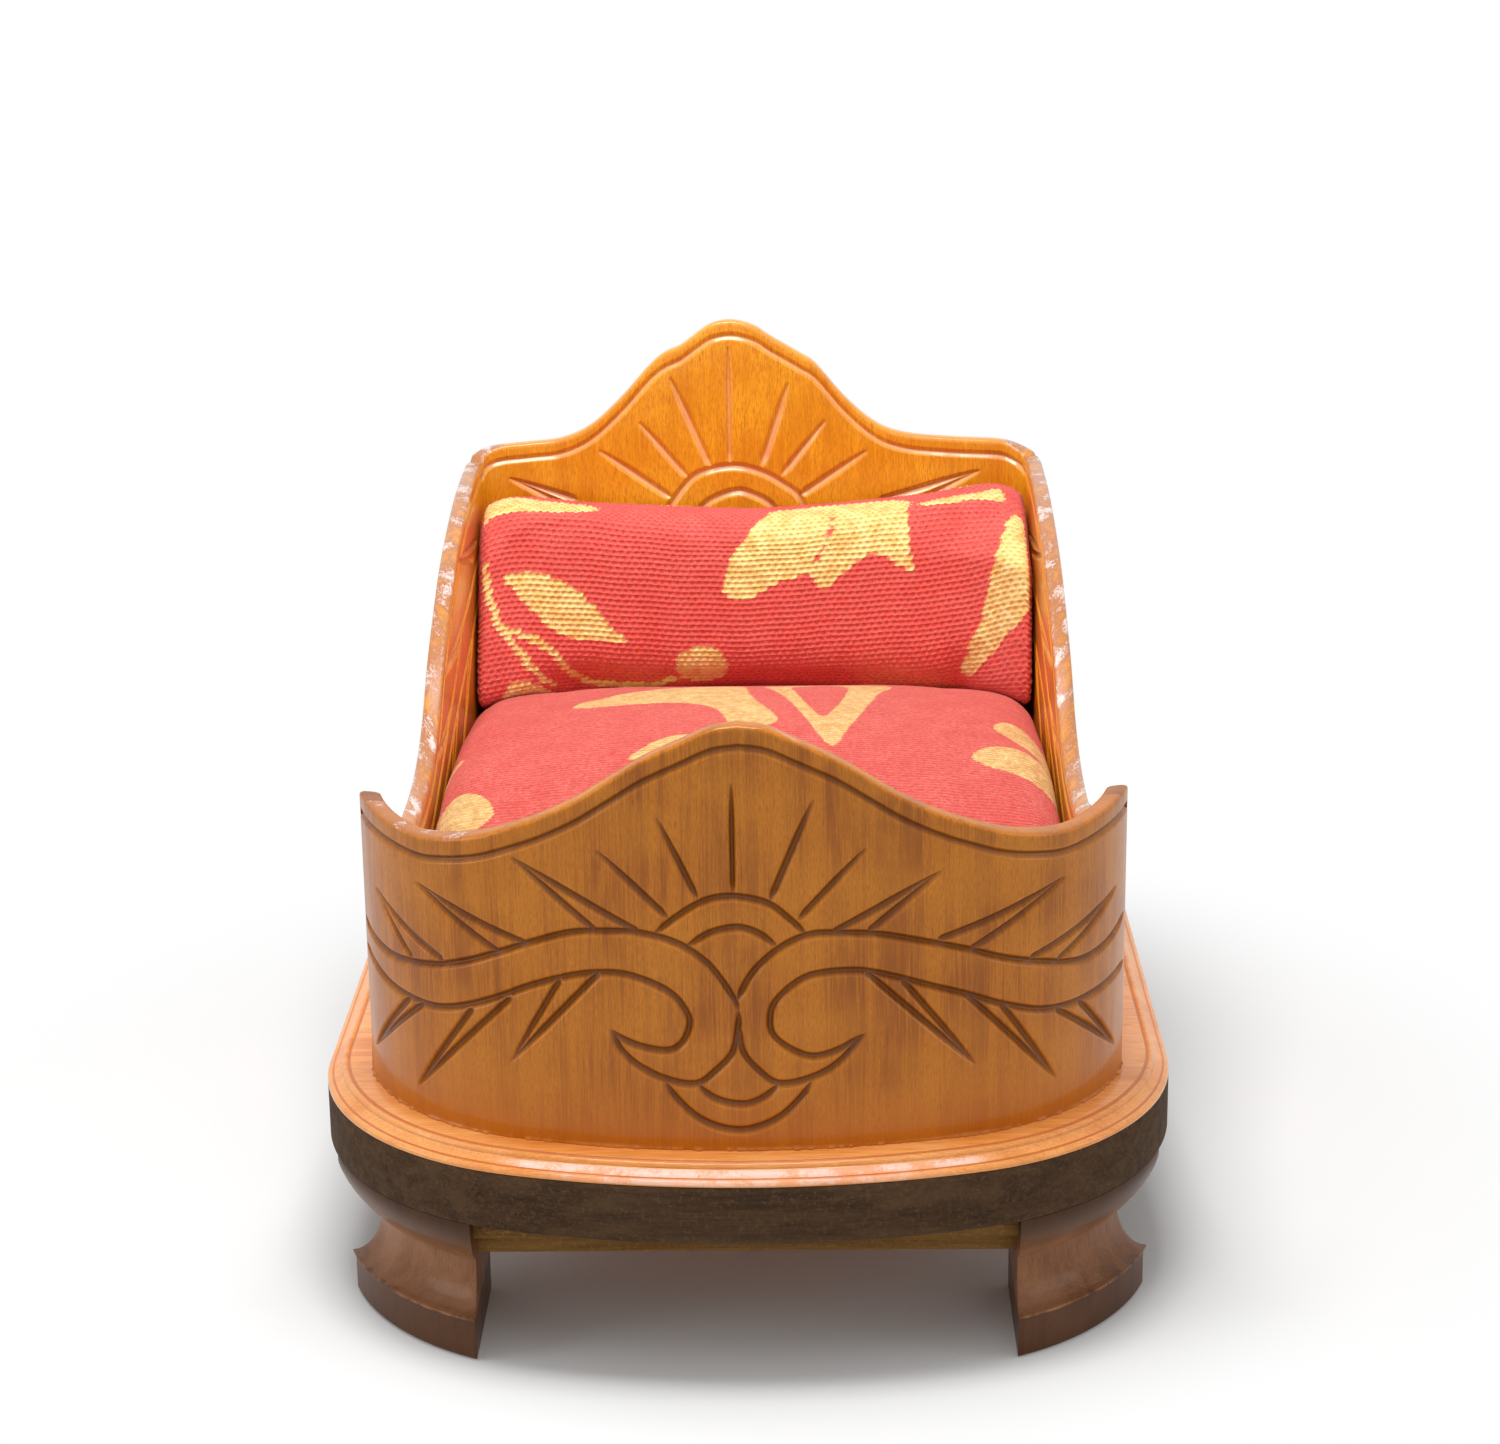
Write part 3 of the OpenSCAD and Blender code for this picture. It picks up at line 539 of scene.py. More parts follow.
def build_base_board():
    """The rim has an ovolo, a cove and a bead. Each crease is held by two close rows. The
    creases are darkened with painted shade, and at the front the cove and bead get a painted
    highlight."""
    profile = [(INNER_ROW, 0), (12, 0), (6.9, 0), (6.75, -0.1), (6.55, -0.4), (6.35, -0.5),
               (6.15, -0.42)]
    profile += arc((5.3, -1.3), -1.1, 1.25, 128, 0, 12)       # ovolo, set off by a narrow quirk
    profile += [(4.2, -1.35), (4.2, -1.5), (4.1, -1.6)]
    profile += [(4.05 - 2.5 * s, -1.62 - 1.4 * s - COVE_SAG * 4 * s * (1 - s))
                for s in np.linspace(0, 1, 9)]                # cove
    profile += [(1.5, -3.03), (1.4, -3.2)]
    profile += arc((1.3, -4.6), -1.3, 1.3, 90, 0, 9)          # bead
    profile += [(0.02, -4.7), (0.0, -4.95), (0.1, -5.0), (INNER_ROW, -5.0)]
    x, z = np.array(profile).T
    # Painted shade in the moulding's creases
    stain = ((-3.3 < z) & (z < -2.9)) | ((-0.52 < z) & (z < -0.08) & (x > 6.1))
    # Painted highlight: pale and white on the cove and, less, on the bead
    in_cove = (1.6 < x) & (x < 4.0) & (-3.3 < z) & (z < -1.6)
    worn = in_cove + BEAD_SHEEN * ((z < -3.3) & (z > -4.65))
    grid = sweep(profile)
    columns, rows = grid.shape[:2]
    count = columns * rows
    verts = np.vstack([grid.reshape(-1, 3), [[0, 100, 0], [0, 100, -BOARD_T]]])
    top = np.arange(columns) * rows
    tris = np.vstack([fan(top, count)[:, ::-1], fan(top + rows - 1, count + 1)])
    x, y = base_outline(0).T
    # The painted highlight is kept to the front of the board
    at_front = np.where(y < 0, np.interp(np.abs(x), [42, 78], [1.0, 0.1]), 0.1)
    return make_mesh("base_board_moulded", verts, grid_quads(columns, rows, closed_columns=True),
                     tris, {"groove": np.append(np.tile(stain, columns), [0, 0]),
                            "rim": np.append(at_front[:, None] * worn, [0, 0])})


def build_frame_member(name, first, last):
    """One member of the dark frame: the stretch between two columns of the outline."""
    z0, z1 = -BOARD_T - 0.02, FRAME_LOW
    profile = [(0.0, z0 - 0.25), (0.0, z1 + EASED)]
    profile += arc((EASED, z1 + EASED), -EASED, -EASED, 0, 90, 6)[1:]
    profile += [(FRAME_W / 2, z1), (FRAME_W - 0.4, z1), (FRAME_W, z1 + 0.4), (FRAME_W, z0 - 0.3),
                (FRAME_W - 0.3, z0), (FRAME_W / 2, z0), (0.25, z0)]
    grid = sweep(profile)
    grid = np.concatenate([grid[first:], grid[:last]]) if first > last else grid[first:last]
    return loft(name, grid)


# Feet and battens: softened CAD forms

def softened(node, name, width, segments, shape=None):
    """A copy of a CAD node's mesh with eased edges, for wood that was sanded by hand."""
    piece = copy_of(node, name, join_flat=True)
    bevel = piece.modifiers.new("eased", "BEVEL")
    bevel.width = width * MM
    bevel.segments = segments
    bevel.limit_method = "ANGLE"
    bevel.angle_limit = math.radians(32)
    bake(piece)
    if shape:
        set_vertices(piece, shape(vertices_of(piece)[0]))
    piece.data.shade_smooth()
    piece.data.set_sharp_from_angle(angle=math.radians(38))
    return piece


# Depths of a foot's band, neck and ridge below the frame: in the CAD part, and on the real foot
FOOT_CAD, FOOT_REAL = (0, 8.5, 21.5, 31, 44), (0, 2.5, 16.2, 31, 44)
FLUSH = 2.6         # the top of a foot comes out this far, nearly flush with the frame
FLUSH_TO = 12       # and less and less down to this depth
OUTER_DEEP = 12.7   # points this near to the outline are on a foot's outer face
IN_FACE = 0.7       # points this near to a flat cut face are in it


def real_foot(points):
    """Moves the neck up and lets the foot's top run on from the frame's face."""
    p = points.copy()
    down = np.interp(FRAME_LOW - p[:, 2], FOOT_CAD, FOOT_REAL)
    p[:, 2] = FRAME_LOW - down
    front = p[:, 1] < CORNER_Y
    centre = np.where(front[:, None], (CORNER_X, CORNER_Y), (BASE_W - BACK_R, BACK_Y))
    radius = np.where(front, CORNER_R + BASE_OUT, BACK_R)
    spoke = pairs(np.abs(p[:, 0]), p[:, 1]) - centre
    spoke = np.where(front[:, None], spoke, np.maximum(spoke, 0))
    size = np.linalg.norm(spoke, axis=1) + TINY
    push = np.where(radius - size < OUTER_DEEP,
                    FLUSH * np.interp(down, [0, 2.5, FLUSH_TO], [1, 1, 0]), 0) / size
    # On the flat cut faces the points stay in the face
    inner_face = np.abs(np.abs(p[:, 0]) - FOOT_INNER_X) < IN_FACE
    end_face = front & (np.abs(p[:, 1] - FOOT_END_Y) < IN_FACE)
    p[:, 0] += np.sign(p[:, 0]) * np.where(inner_face, 0, spoke[:, 0] * push)
    p[:, 1] += np.where(end_face, 0, spoke[:, 1] * push)
    return p


# Cloth

CLOTH = {"quality": 6, "mass": 0.1, "tension_stiffness": 15, "compression_stiffness": 9,
         "shear_stiffness": 4, "bending_stiffness": 0.4, "use_pressure": True,
         "uniform_pressure_force": 4.0}
CLOTH_FRAMES = 20
CLOTH_MOVES = 1.6   # how far a point may move


def simulate(piece):
    """Blows the cloth up a little and settles it, then caps how far each point has moved."""
    start = vertices_of(piece)[0]
    cloth = piece.modifiers.new("cloth", "CLOTH")
    for key, value in CLOTH.items():
        setattr(cloth.settings, key, value)
    cloth.settings.effector_weights.gravity = 0
    cloth.point_cache.frame_start, cloth.point_cache.frame_end = 1, CLOTH_FRAMES
    scene = bpy.context.scene
    for step in range(1, CLOTH_FRAMES + 1):
        scene.frame_set(step)
    bake(piece)
    scene.frame_set(1)
    move = vertices_of(piece)[0] - start
    size = np.linalg.norm(move, axis=1, keepdims=True) + TINY
    set_vertices(piece, start + move * np.minimum(1, CLOTH_MOVES / size))


def subdivided(piece, levels):
    sub = piece.modifiers.new("fine", "SUBSURF")
    sub.levels = sub.render_levels = levels
    bake(piece)


# Printed shapes give a signed distance in millimetres, above 0 inside

REACH = 6.0         # a patch's distance isn't told further away than this


def patch(p, points):
    """A closed patch with a smooth outline through the points."""
    ring = np.array(points, float)
    near = np.all((p > ring.min(0) - REACH) & (p < ring.max(0) + REACH), axis=1)
    q = p[near]
    best, inside = np.full(len(q), REACH), np.zeros(len(q), bool)
    curve = smooth(np.vstack([ring[-1:], ring, ring[:2]]), 4)[4:-4]
    for a, b in zip(curve[:-1], curve[1:]):
        best = np.minimum(best, off_stretch(q, a, b)[0])
        run = b - a
        if abs(run[1]) > TINY:
            crosses = (a[1] > q[:, 1]) != (b[1] > q[:, 1])
            inside ^= crosses & (q[:, 0] < a[0] + run[0] * (q[:, 1] - a[1]) / run[1])
    out = np.full(len(p), -REACH)
    out[near] = np.where(inside, best, -best)
    return out


def leaf(p, base, tip, half_width):
    base, tip = np.array(base, float), np.array(tip, float)
    size = np.linalg.norm(tip - base)
    run = (tip - base) / size
    t = (p - base) @ run / size
    across = (p - base) @ np.array([-run[1], run[0]])
    body = half_width * np.clip(4 * t * (1 - t), 0, None) ** 0.8
    past = np.maximum(np.maximum(-t, t - 1), 0) * size
    return body - np.abs(across) - past


def stem(p, points, half_width):
    curve = smooth(points, 6)
    return half_width - np.min([off_stretch(p, a, b)[0] for a, b in zip(curve[:-1], curve[1:])], 0)


def berry(p, centre, across, up):
    """An ellipse, its distance only near enough for an edge."""
    off = np.hypot((p[:, 0] - centre[0]) / across, (p[:, 1] - centre[1]) / up)
    return (1 - off) * min(across, up)


def mattress_print(x, y):
    """The gold shapes by X and Y. Those at y under 50 and over 190 can't be seen in the photo."""
    p = np.stack([x, y], 1)
    flower = patch(p, [(5.5, 186), (11, 150), (17.5, 118), (25.5, 88), (31.5, 108), (37, 132),
                       (42, 160), (45, 190)])
    eye = patch(p, [(13.5, 176), (16, 150), (20, 128), (23.5, 119), (27, 130), (30.5, 150),
                    (32, 176), (24, 190)])
    shapes = [
        patch(p, [(-96, 50), (-91, 63), (-86, 66), (-80, 60), (-76, 50), (-76, 42), (-84, 34)]),
        stem(p, [(-95.5, 78), (-94, 90), (-91, 101)], 1.6),
        patch(p, [(-58, 144), (-52, 158), (-38, 172), (-24, 182), (-18, 190), (-4, 188), (-1, 160),
                  (3, 137), (9, 112), (-4, 106), (-10, 126), (-17, 137), (-28, 143), (-43, 143)]),
        np.minimum(flower, -eye),
        patch(p, [(-36.5, 79), (-33, 88), (-28, 95), (-22, 99), (-17, 97), (-19, 88), (-28, 80)]),
        patch(p, [(69, 86), (75, 96), (83, 97), (90, 92), (96, 86), (99, 72), (97, 64), (90, 69),
                  (81, 75), (73, 79)]),
        patch(p, [(77.5, 117), (82, 127), (89, 121), (95, 103), (99, 84), (94, 88), (85, 104)]),
        leaf(p, (10, 20), (44, -6), 10), leaf(p, (-30, 10), (-56, -20), 9),
        leaf(p, (54, 4), (84, 30), 9), leaf(p, (-60, 205), (-20, 230), 10),
        leaf(p, (30, 200), (76, 232), 11), stem(p, [(-14, 60), (0, 30), (10, 20)], 1.6),
    ]
    return np.max(shapes, axis=0)


def pillow_print(x, g):
    """The gold shapes by X and the way down from the top's front edge, over the front face.
    Those at g under -8 lie on the top and the back, which the photo doesn't show."""
    p = np.stack([x, g], 1)
    shapes = [
        patch(p, [(-87, 23.5), (-82, 21.7), (-72, 22.3), (-63, 26.2), (-56, 32.6), (-50, 39.5),
                  (-44.5, 44.5), (-53, 45), (-64, 45), (-72, 41), (-79, 34), (-84, 28)]),
        stem(p, [(-94.8, 16.5), (-93.5, 25.3), (-91.5, 33.7), (-88.5, 41.7), (-83.5, 47.8),
                 (-78, 54.5), (-70.5, 63)], 1.3),
        stem(p, [(-89.5, 41.7), (-81.5, 44.5), (-74, 47.2), (-67.5, 52.5), (-61, 59.6), (-55, 62),
                 (-37, 62.2), (-28, 58)], 1.2),
        berry(p, (-18, 52.3), 9.2, 7.8),
        patch(p, [(-88, 72), (-87, 62), (-83, 59.5), (-78, 61), (-72, 66), (-70, 74), (-80, 80)]),
        np.minimum(
            patch(p, [(-9, 26), (-10, 22), (-7, 10), (-2, 1), (4, -8), (12, -16), (52, -17),
                      (54.5, 0), (55, 13), (56, 22), (49, 16), (42, 12.5), (37, 15), (30, 21),
                      (24, 26), (20, 19), (11, 21), (2, 26), (-4, 28)]),
            -stem(p, [(28.5, -6), (28, 1), (25, 8), (21, 15)], 0.55)),
        patch(p, [(92, -3), (99, 2), (103, 19), (100, 36), (91, 46), (80, 56), (75, 60.5),
                  (72.5, 58), (75, 51), (79.5, 40), (83, 28), (86.5, 14)]),
        patch(p, [(-97, 3), (-97, -18), (-76, -19), (-58, -15), (-54, -9), (-63, -5), (-72, -2.4),
                  (-84, -2), (-92, -2.4)]),
        patch(p, [(62, -5), (71, -5.5), (80, -7), (89, -8), (88, -18), (77, -18), (66, -14),
                  (59, -9)]),
        leaf(p, (-60, -40), (-10, -28), 10), leaf(p, (14, -62), (60, -44), 11),
        berry(p, (76, -34), 8, 7), leaf(p, (-84, -86), (-44, -70), 10),
    ]
    return np.max(shapes, axis=0)


BETWEEN_WALLS = 95.9    # half the room between the side walls, which stops both soft pieces

# The mattress
MATTRESS_MID, MATTRESS_HALF_L = 102.0, 153.9
VOXEL = 5.0
MATTRESS_FULL = 1.8     # how far the stuffing presses the cloth out
PRESSED = 0.5           # how far the pillow presses it down
EDGE_UP = 2.5           # how much higher its long edges lie
SQUARE_FROM = 66.0      # the half width from which its long edges are squeezed out square
PRINT_EDGE = 44.0       # the height below which the print is on its sides


def build_mattress():
    piece = copy_of("mattress", "mattress_soft")
    remesh = piece.modifiers.new("voxels", "REMESH")
    remesh.mode = "VOXEL"
    remesh.voxel_size = VOXEL * MM
    even = piece.modifiers.new("even", "SMOOTH")
    even.factor, even.iterations = 0.5, 3
    bake(piece)
    # Back onto the CAD form, whose edges the even grid had rounded
    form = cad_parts["mattress"]
    for v in piece.data.vertices:
        v.co = form.closest_point_on_mesh(v.co)[1]
    simulate(piece)
    subdivided(piece, 2)
    points, normals = vertices_of(piece)
    points += normals * MATTRESS_FULL
    x, y, z = points.T
    # The pillow presses it down, and the long edges stand up more squarely than in the CAD form
    z += np.interp(z, [8, 30], [0, 1]) * (EDGE_UP * np.interp(np.abs(x), [35, 85], [0, 1])
                                          - PRESSED * np.interp(y, [194, 212], [0, 1]))
    # The walls stop it, so its long edges are squeezed out square
    room = BETWEEN_WALLS - SQUARE_FROM
    share = np.clip((np.abs(x) - SQUARE_FROM) / room, 0, 1)
    x[:] = np.where(share > 0, np.sign(x) * (SQUARE_FROM + room * share ** 0.6), x)
    set_vertices(piece, points)
    # The print runs on over the long edges and down the sides
    down = np.clip(PRINT_EDGE - z, 0, None)
    set_attribute(piece, "print", mattress_print(x + np.sign(x) * down, y))
    piece.data.shade_smooth()
    return piece


# The pillow
PILLOW_W, PILLOW_T, PILLOW_H, PILLOW_SAG = 95.4, 33.0, 73.0, 8.0
PILLOW_LEAN, PILLOW_Y = 11.0, 228.4
PILLOW_BULGE = 2.0      # how far the stuffed front stands out over the CAD form
PILLOW_ROUND = 6.0      # how much lower its upper corners lie at the ends
SWELL_LEFT, SWELL_RIGHT = 23, 31    # how far its squeezed ends swell forward
TOP_MID, TOP_RIGHT = 2.5, 3.5       # how much higher its top stands in the middle and right
PILLOW_GAP = 3.0        # how far its lower front edge stands clear of the mattress
TOP_FRONT = math.radians(138)       # the way round to the top's front edge
ROW, BEAD = 1.9, 2.5    # pitch of its terry rows, and of the loops along a row
PRINT_WIDE = 1.025
PRINT_UP = 4.0          # the print starts this far up over the top's front edge
PRINT_MORE = 3.0        # and sits so much higher again at half the height
PLAIN = -3.0            # a print value well outside every shape
SEWN = 0.85             # normals that lie more than this along X are on the sewn ends
# Two soft dents, and the fold over the lower right corner: X, drop, their reaches and depth
DENTS = ((-58, 56, 15, 7, 3.5), (-10, 61, 30, 5, 1.5), (72, 58, 7, 12, 3.0))


def mattress_height(x, y):
    """The CAD mattress's top."""
    v = (y - MATTRESS_MID) / MATTRESS_HALF_L
    return 56 - 27 * v ** 2 + 11 * (np.maximum(0, 1 - (x / PILLOW_W) ** 2)
                                    * np.maximum(0, 1 - v ** 4))


def top_rise(u):
    """How much higher the stuffed top stands than the CAD form, by the share of the half width."""
    return TOP_MID * (1 - np.abs(u) ** 1.3) + TOP_RIGHT * np.clip(u, 0, 1) ** 1.5


def pillow_rings(stations, around_it):
    """The stuffed form of the CAD pillow, in rings that start at the lower back edge."""
    u = signed_power(np.linspace(-1, 1, stations), 0.9)[:, None]
    a = np.radians(np.linspace(-45, 315, around_it))[None]
    full = 0.65 + 0.35 * np.clip(1 - np.abs(u) ** 20, 0, 1) ** 0.2
    x = u * (PILLOW_W - 0.4) + 0 * a
    w = (1 + signed_power(np.sin(a), 0.45) * (0.9 + 0.1 * full)) / 2
    thick = PILLOW_T / 2 + np.where(np.cos(a) < 0, PILLOW_BULGE, -1)
    y = PILLOW_Y + signed_power(np.cos(a), 0.55) * thick * full + PILLOW_LEAN * w
    # The front is dished in the middle, and its squeezed ends swell forward, most at the right
    in_front = np.clip(-np.cos(a) * 2, 0, 1)
    swell = np.where(u < 0, SWELL_LEFT * (1 - w), SWELL_RIGHT * np.clip((1 - w) * 4, 0, 1))
    y += in_front * (3 * (1 - w) * (1 - u ** 4) - swell * np.abs(u) ** 5)
    foot = mattress_height(PILLOW_W, PILLOW_Y - PILLOW_T / 2) + 0.6
    sag = PILLOW_SAG * (1 - np.abs(u) ** 1.3) + PILLOW_ROUND * np.abs(u) ** 16 - top_rise(u)
    high = foot + PILLOW_H - 1 - sag
    low = mattress_height(x, y) + 1.2
    lifted = PILLOW_GAP * in_front * (1 - w) ** 2 * (1 - u ** 6)
    return np.dstack([x, y, low + (high - low) * w + lifted]), a[0]


def pillow_grid(stations, around_it):
    """The same rings with evenly spaced points, and how far each lies below the top's front
    edge."""
    fine, a = pillow_rings(stations, 1600)
    top_front = int(np.argmin(np.abs(a - TOP_FRONT)))
    grid, drop = np.empty((stations, around_it, 3)), np.empty((stations, around_it))
    for k, ring in enumerate(fine):
        girth = way_along(ring)
        even = np.linspace(0, girth[-1], around_it, endpoint=False)
        grid[k] = np.stack([np.interp(even, girth, ring[:, i]) for i in range(3)], 1)
        drop[k] = even - girth[top_front]
    return grid, drop


def scatter(a, b):
    """A repeatable number from 0 to 1 for each pair of whole numbers."""
    return np.abs(np.sin(a * 12.9898 + b * 78.233) * 43758.5453) % 1.0


def raised(x, g):
    """The print sits higher up the front face, most so at half its height."""
    return (g + PRINT_UP - top_rise(x / BETWEEN_WALLS)
            + PRINT_MORE * np.sin(math.pi * np.clip((g - 4) / 61, 0, 1)))


def build_pillow():
    """A box-like stuffed tube, sewn shut at both ends, with rows of terry loops."""
    grid, drop = pillow_grid(65, 80)
    seam = np.ones_like(drop)
    seam[:, [0, 1, -1]] = 0
    for x, down, wide, tall, deep in DENTS:
        dent = deep * np.exp(-((grid[..., 0] - x) / wide) ** 2 - ((drop - down) / tall) ** 2)
        grid[..., 1] += dent * (seam > 0)
    piece = loft("pillow_terry", grid, {"across": grid[..., 0], "drop": drop, "seam": seam})
    simulate(piece)
    subdivided(piece, 3)
    points, normals = vertices_of(piece)
    points[:, 0] *= BETWEEN_WALLS / np.abs(points[:, 0]).max()
    x, g, seam = (read(piece.data.attributes[key].data, "value", 1)
                  for key in ("across", "drop", "seam"))
    # Loops in rows that waver a little, each loop slanting and shifted from the row above
    g = g + 0.35 * np.sin(x * 0.07) + 0.12 * np.sin(x * 0.31)
    row = np.floor(g / ROW)
    in_row = g / ROW - row - 0.5
    slant = x / BEAD + 0.5 * (row % 2) + 0.5 * in_row + 0.2 * scatter(row, 3 * row)
    bead = np.floor(slant)
    in_bead = slant - bead - 0.5
    shade = scatter(bead, row)
    terry = np.clip(1 - 3.3 * in_row ** 2 - 2.2 * in_bead ** 2, 0, 1) ** 0.5 * (0.8 + 0.2 * shade)
    height = (0.8 * terry - 0.35) * np.clip(seam * 2 - 1, 0, 1)
    set_vertices(piece, points + normals * height[:, None])
    # The print's edge follows the loops, and the sewn ends are plain
    middle = (bead + 0.5 - 0.5 * (row % 2)) * BEAD
    printed = (0.35 * pillow_print(x * PRINT_WIDE, raised(x, g))
               + 0.65 * pillow_print(middle * PRINT_WIDE, raised(middle, (row + 0.5) * ROW)))
    printed = np.where(np.abs(normals[:, 0]) > SEWN, PLAIN, printed + 0.9 * (shade - 0.5))
    for key, values in (("terry", terry), ("shade", shade), ("print", printed)):
        set_attribute(piece, key, values)
    piece.data.shade_smooth()
    return piece


# Materials

def rgb(r, g, b):
    """A colour from the display's 0 to 255 to linear light."""
    lin = [c / 12.92 if c <= 0.04045 else ((c + 0.055) / 1.055) ** 2.4
           for c in (r / 255, g / 255, b / 255)]
    return (*lin, 1.0)


class Shader:
    """Builds the nodes of a new material or world."""

    def __init__(self, owner):
        owner.use_nodes = True
        self.owner, self.tree = owner, owner.node_tree
        self.tree.nodes.clear()

    def add(self, kind, inputs=None, out=0, **props):
        node = self.tree.nodes.new(kind)
        for key, value in props.items():
            setattr(node, key, value)
        for key, value in (inputs or {}).items():
            if isinstance(value, bpy.types.NodeSocket):
                self.tree.links.new(value, node.inputs[key])
            else:
                node.inputs[key].default_value = value
        return node.outputs[out] if len(node.outputs) else None

    def math(self, operation, a, b):
        return self.add("ShaderNodeMath", {0: a, 1: b}, operation=operation)

    def total(self, *parts):
        """The sum of values, each times its weight."""
        parts = [self.math("MULTIPLY", value, weight) for value, weight in parts]
        whole = parts[0]
        for more in parts[1:]:
            whole = self.math("ADD", whole, more)
        return whole

    def shifted(self, value, noise, size):
        """A value shifted up or down by a noise whose mean is a half."""
        return self.total((value, 1.0), (self.math("SUBTRACT", noise, 0.5), size))

    def span(self, value, low, high, to_low=0.0, to_high=1.0):
        """Maps a stretch of values smoothly to another."""
        return self.add("ShaderNodeMapRange", {0: value, 1: low, 2: high, 3: to_low, 4: to_high},
                        interpolation_type="SMOOTHSTEP")

    def mix(self, share, a, b, blend="MIX"):
        return self.add("ShaderNodeMix", {0: share, 6: a, 7: b}, out=2, data_type="RGBA",
                        blend_type=blend)

    def noise(self, vector, scale, detail, rough, warp=0.0):
        return self.add("ShaderNodeTexNoise", {"Vector": vector, "Scale": scale, "Detail": detail,
                                               "Roughness": rough, "Distortion": warp})

    def stretch(self, vector, scale):
        return self.add("ShaderNodeMapping", {"Vector": vector, "Scale": scale})

    def along_grain(self, point, axis):
        """Coordinates with the fibres drawn out along an axis: 0 for X, 1 for Y, 2 for Z."""
        scale = [1.0, 1.0, 1.0]
        scale[axis] = 0.035
        return self.stretch(point, scale)

    def bump(self, height, strength, distance):
        return self.add("ShaderNodeBump", {"Height": height, "Strength": strength,
                                           "Distance": distance * MM})

    def attribute(self, key, out=2):
        return self.add("ShaderNodeAttribute", out=out, attribute_name=key)

    def millimetres(self):
        point = self.add("ShaderNodeTexCoord", out=3)
        return self.add("ShaderNodeVectorMath", {0: point, 3: 1000.0}, operation="SCALE")

    def finish(self, inputs):
        surface = self.add("ShaderNodeBsdfPrincipled", inputs)
        self.add("ShaderNodeOutputMaterial", {"Surface": surface})
        return self.owner


def tinted(color, r, g, b):
    return (color[0] * r, color[1] * g, color[2] * b, 1)


def varnished(name, deep, mid, light, coat, axis=2, unrolled=True, rough=0.34, rim=None,
              pale=None, cut=None, ior=1.38, pores=1.0, streak=1.0, painted_light_zones=(), gloss=0.14,
              worn_and_sheen_from=0.35, dashes=0.75, highlight_share=0.7):
    """Varnished wood: drawn-out grain, pores, slow blotches, zones of painted light and shade by
    height, cuts tinted with stain, painted shade and painted highlight, and rims with worn varnish
    and painted highlights.
    """
    s = Shader(bpy.data.materials.new(name))
    point = s.attribute("unrolled", out=1) if unrolled else s.millimetres()
    fibre = s.along_grain(point, axis)
    broad = s.noise(s.stretch(fibre, (0.16, 0.16, 0.16)), 1.0, 4, 0.6, 0.6)
    fine = s.noise(fibre, 1.6, 5, 0.65)
    dash = s.noise(s.stretch(fibre, (1, 1, 4)), 3.4, 2, 0.6)
    pore = s.noise(s.stretch(fibre, (2.6, 2.6, 4.5)), 1.0, 1, 0.4)
    blotch = s.noise(point, 0.035, 3, 0.5)
    half = 0.14 / streak
    tone = s.total((broad, 0.5), (fine, 0.5))
    color = s.mix(s.span(tone, 0.5 - half, 0.5 + half), deep, mid)
    color = s.mix(s.span(blotch, 0.35, 0.7, 0.0, 0.6), color, light)
    color = s.mix(s.span(dash, 0.34, 0.56, dashes, 0.0), color, deep)
    dark = tinted(deep, 0.3, 0.22, 0.2)
    color = s.mix(s.span(pore, 0.66, 0.78, 0.0, 0.4 * pores), color, dark)
    # Zones of painted light and shade by height, with a ragged edge: bounced light low on the
    # footboard, shade over the feet's top and pad
    height = s.add("ShaderNodeSeparateXYZ", {0: point}, out=2)
    uneven = s.shifted(height, broad, 26.0 if unrolled else 4.0)
    for near, far, share, tint in painted_light_zones:
        color = s.mix(s.span(uneven, near, far, share, 0.0), color, tint)
    # The groove attribute tints the cuts and creases with the cut colour: dark for stain and
    # painted shade, pale for a painted highlight
    if unrolled or cut:
        color = s.mix(s.span(s.attribute("groove"), 0.2, 1.0, 0.0, 0.75), color, cut or dark)
    coat_high = [(s.noise(point, 0.16, 2, 0.5), 0.5)]
    if rim:
        # The flat rim: worn varnish and painted highlights in blotches of some millimetres, broken
        # into specks; the white is a painted highlight
        on_rim = s.span(s.attribute("rim"), worn_and_sheen_from, worn_and_sheen_from + 0.3)
        speck = s.noise(point, 1.1, 4, 0.7)
        spots = s.total((s.noise(point, 0.11, 2, 0.5, 0.5), 0.6), (speck, 0.4))
        white = tuple(0.62 + 0.3 * c for c in rim[:3]) + (1,)
        worn = s.mix(s.span(spots, pale[0] - 0.12, pale[0], 0.45, 1.0), color, rim)
        worn = s.mix(s.span(spots, pale[0] + 0.01, pale[1], 0.0, highlight_share), worn, white)
        color = s.mix(on_rim, color, worn)
        coat_high.append((s.math("MULTIPLY", speck, on_rim), 1.2))
    return s.finish({"Base Color": color, "IOR": ior,
                     "Roughness": s.span(fine, 0.2, 0.8, rough * 0.85, rough * 1.2),
                     "Normal": s.bump(s.total((fine, 0.6), (dash, 0.4)), 0.1, 0.2),
                     "Coat Weight": coat, "Coat Roughness": gloss, "Coat IOR": 1.5,
                     "Coat Normal": s.bump(s.total(*coat_high), 0.5, 0.5)})


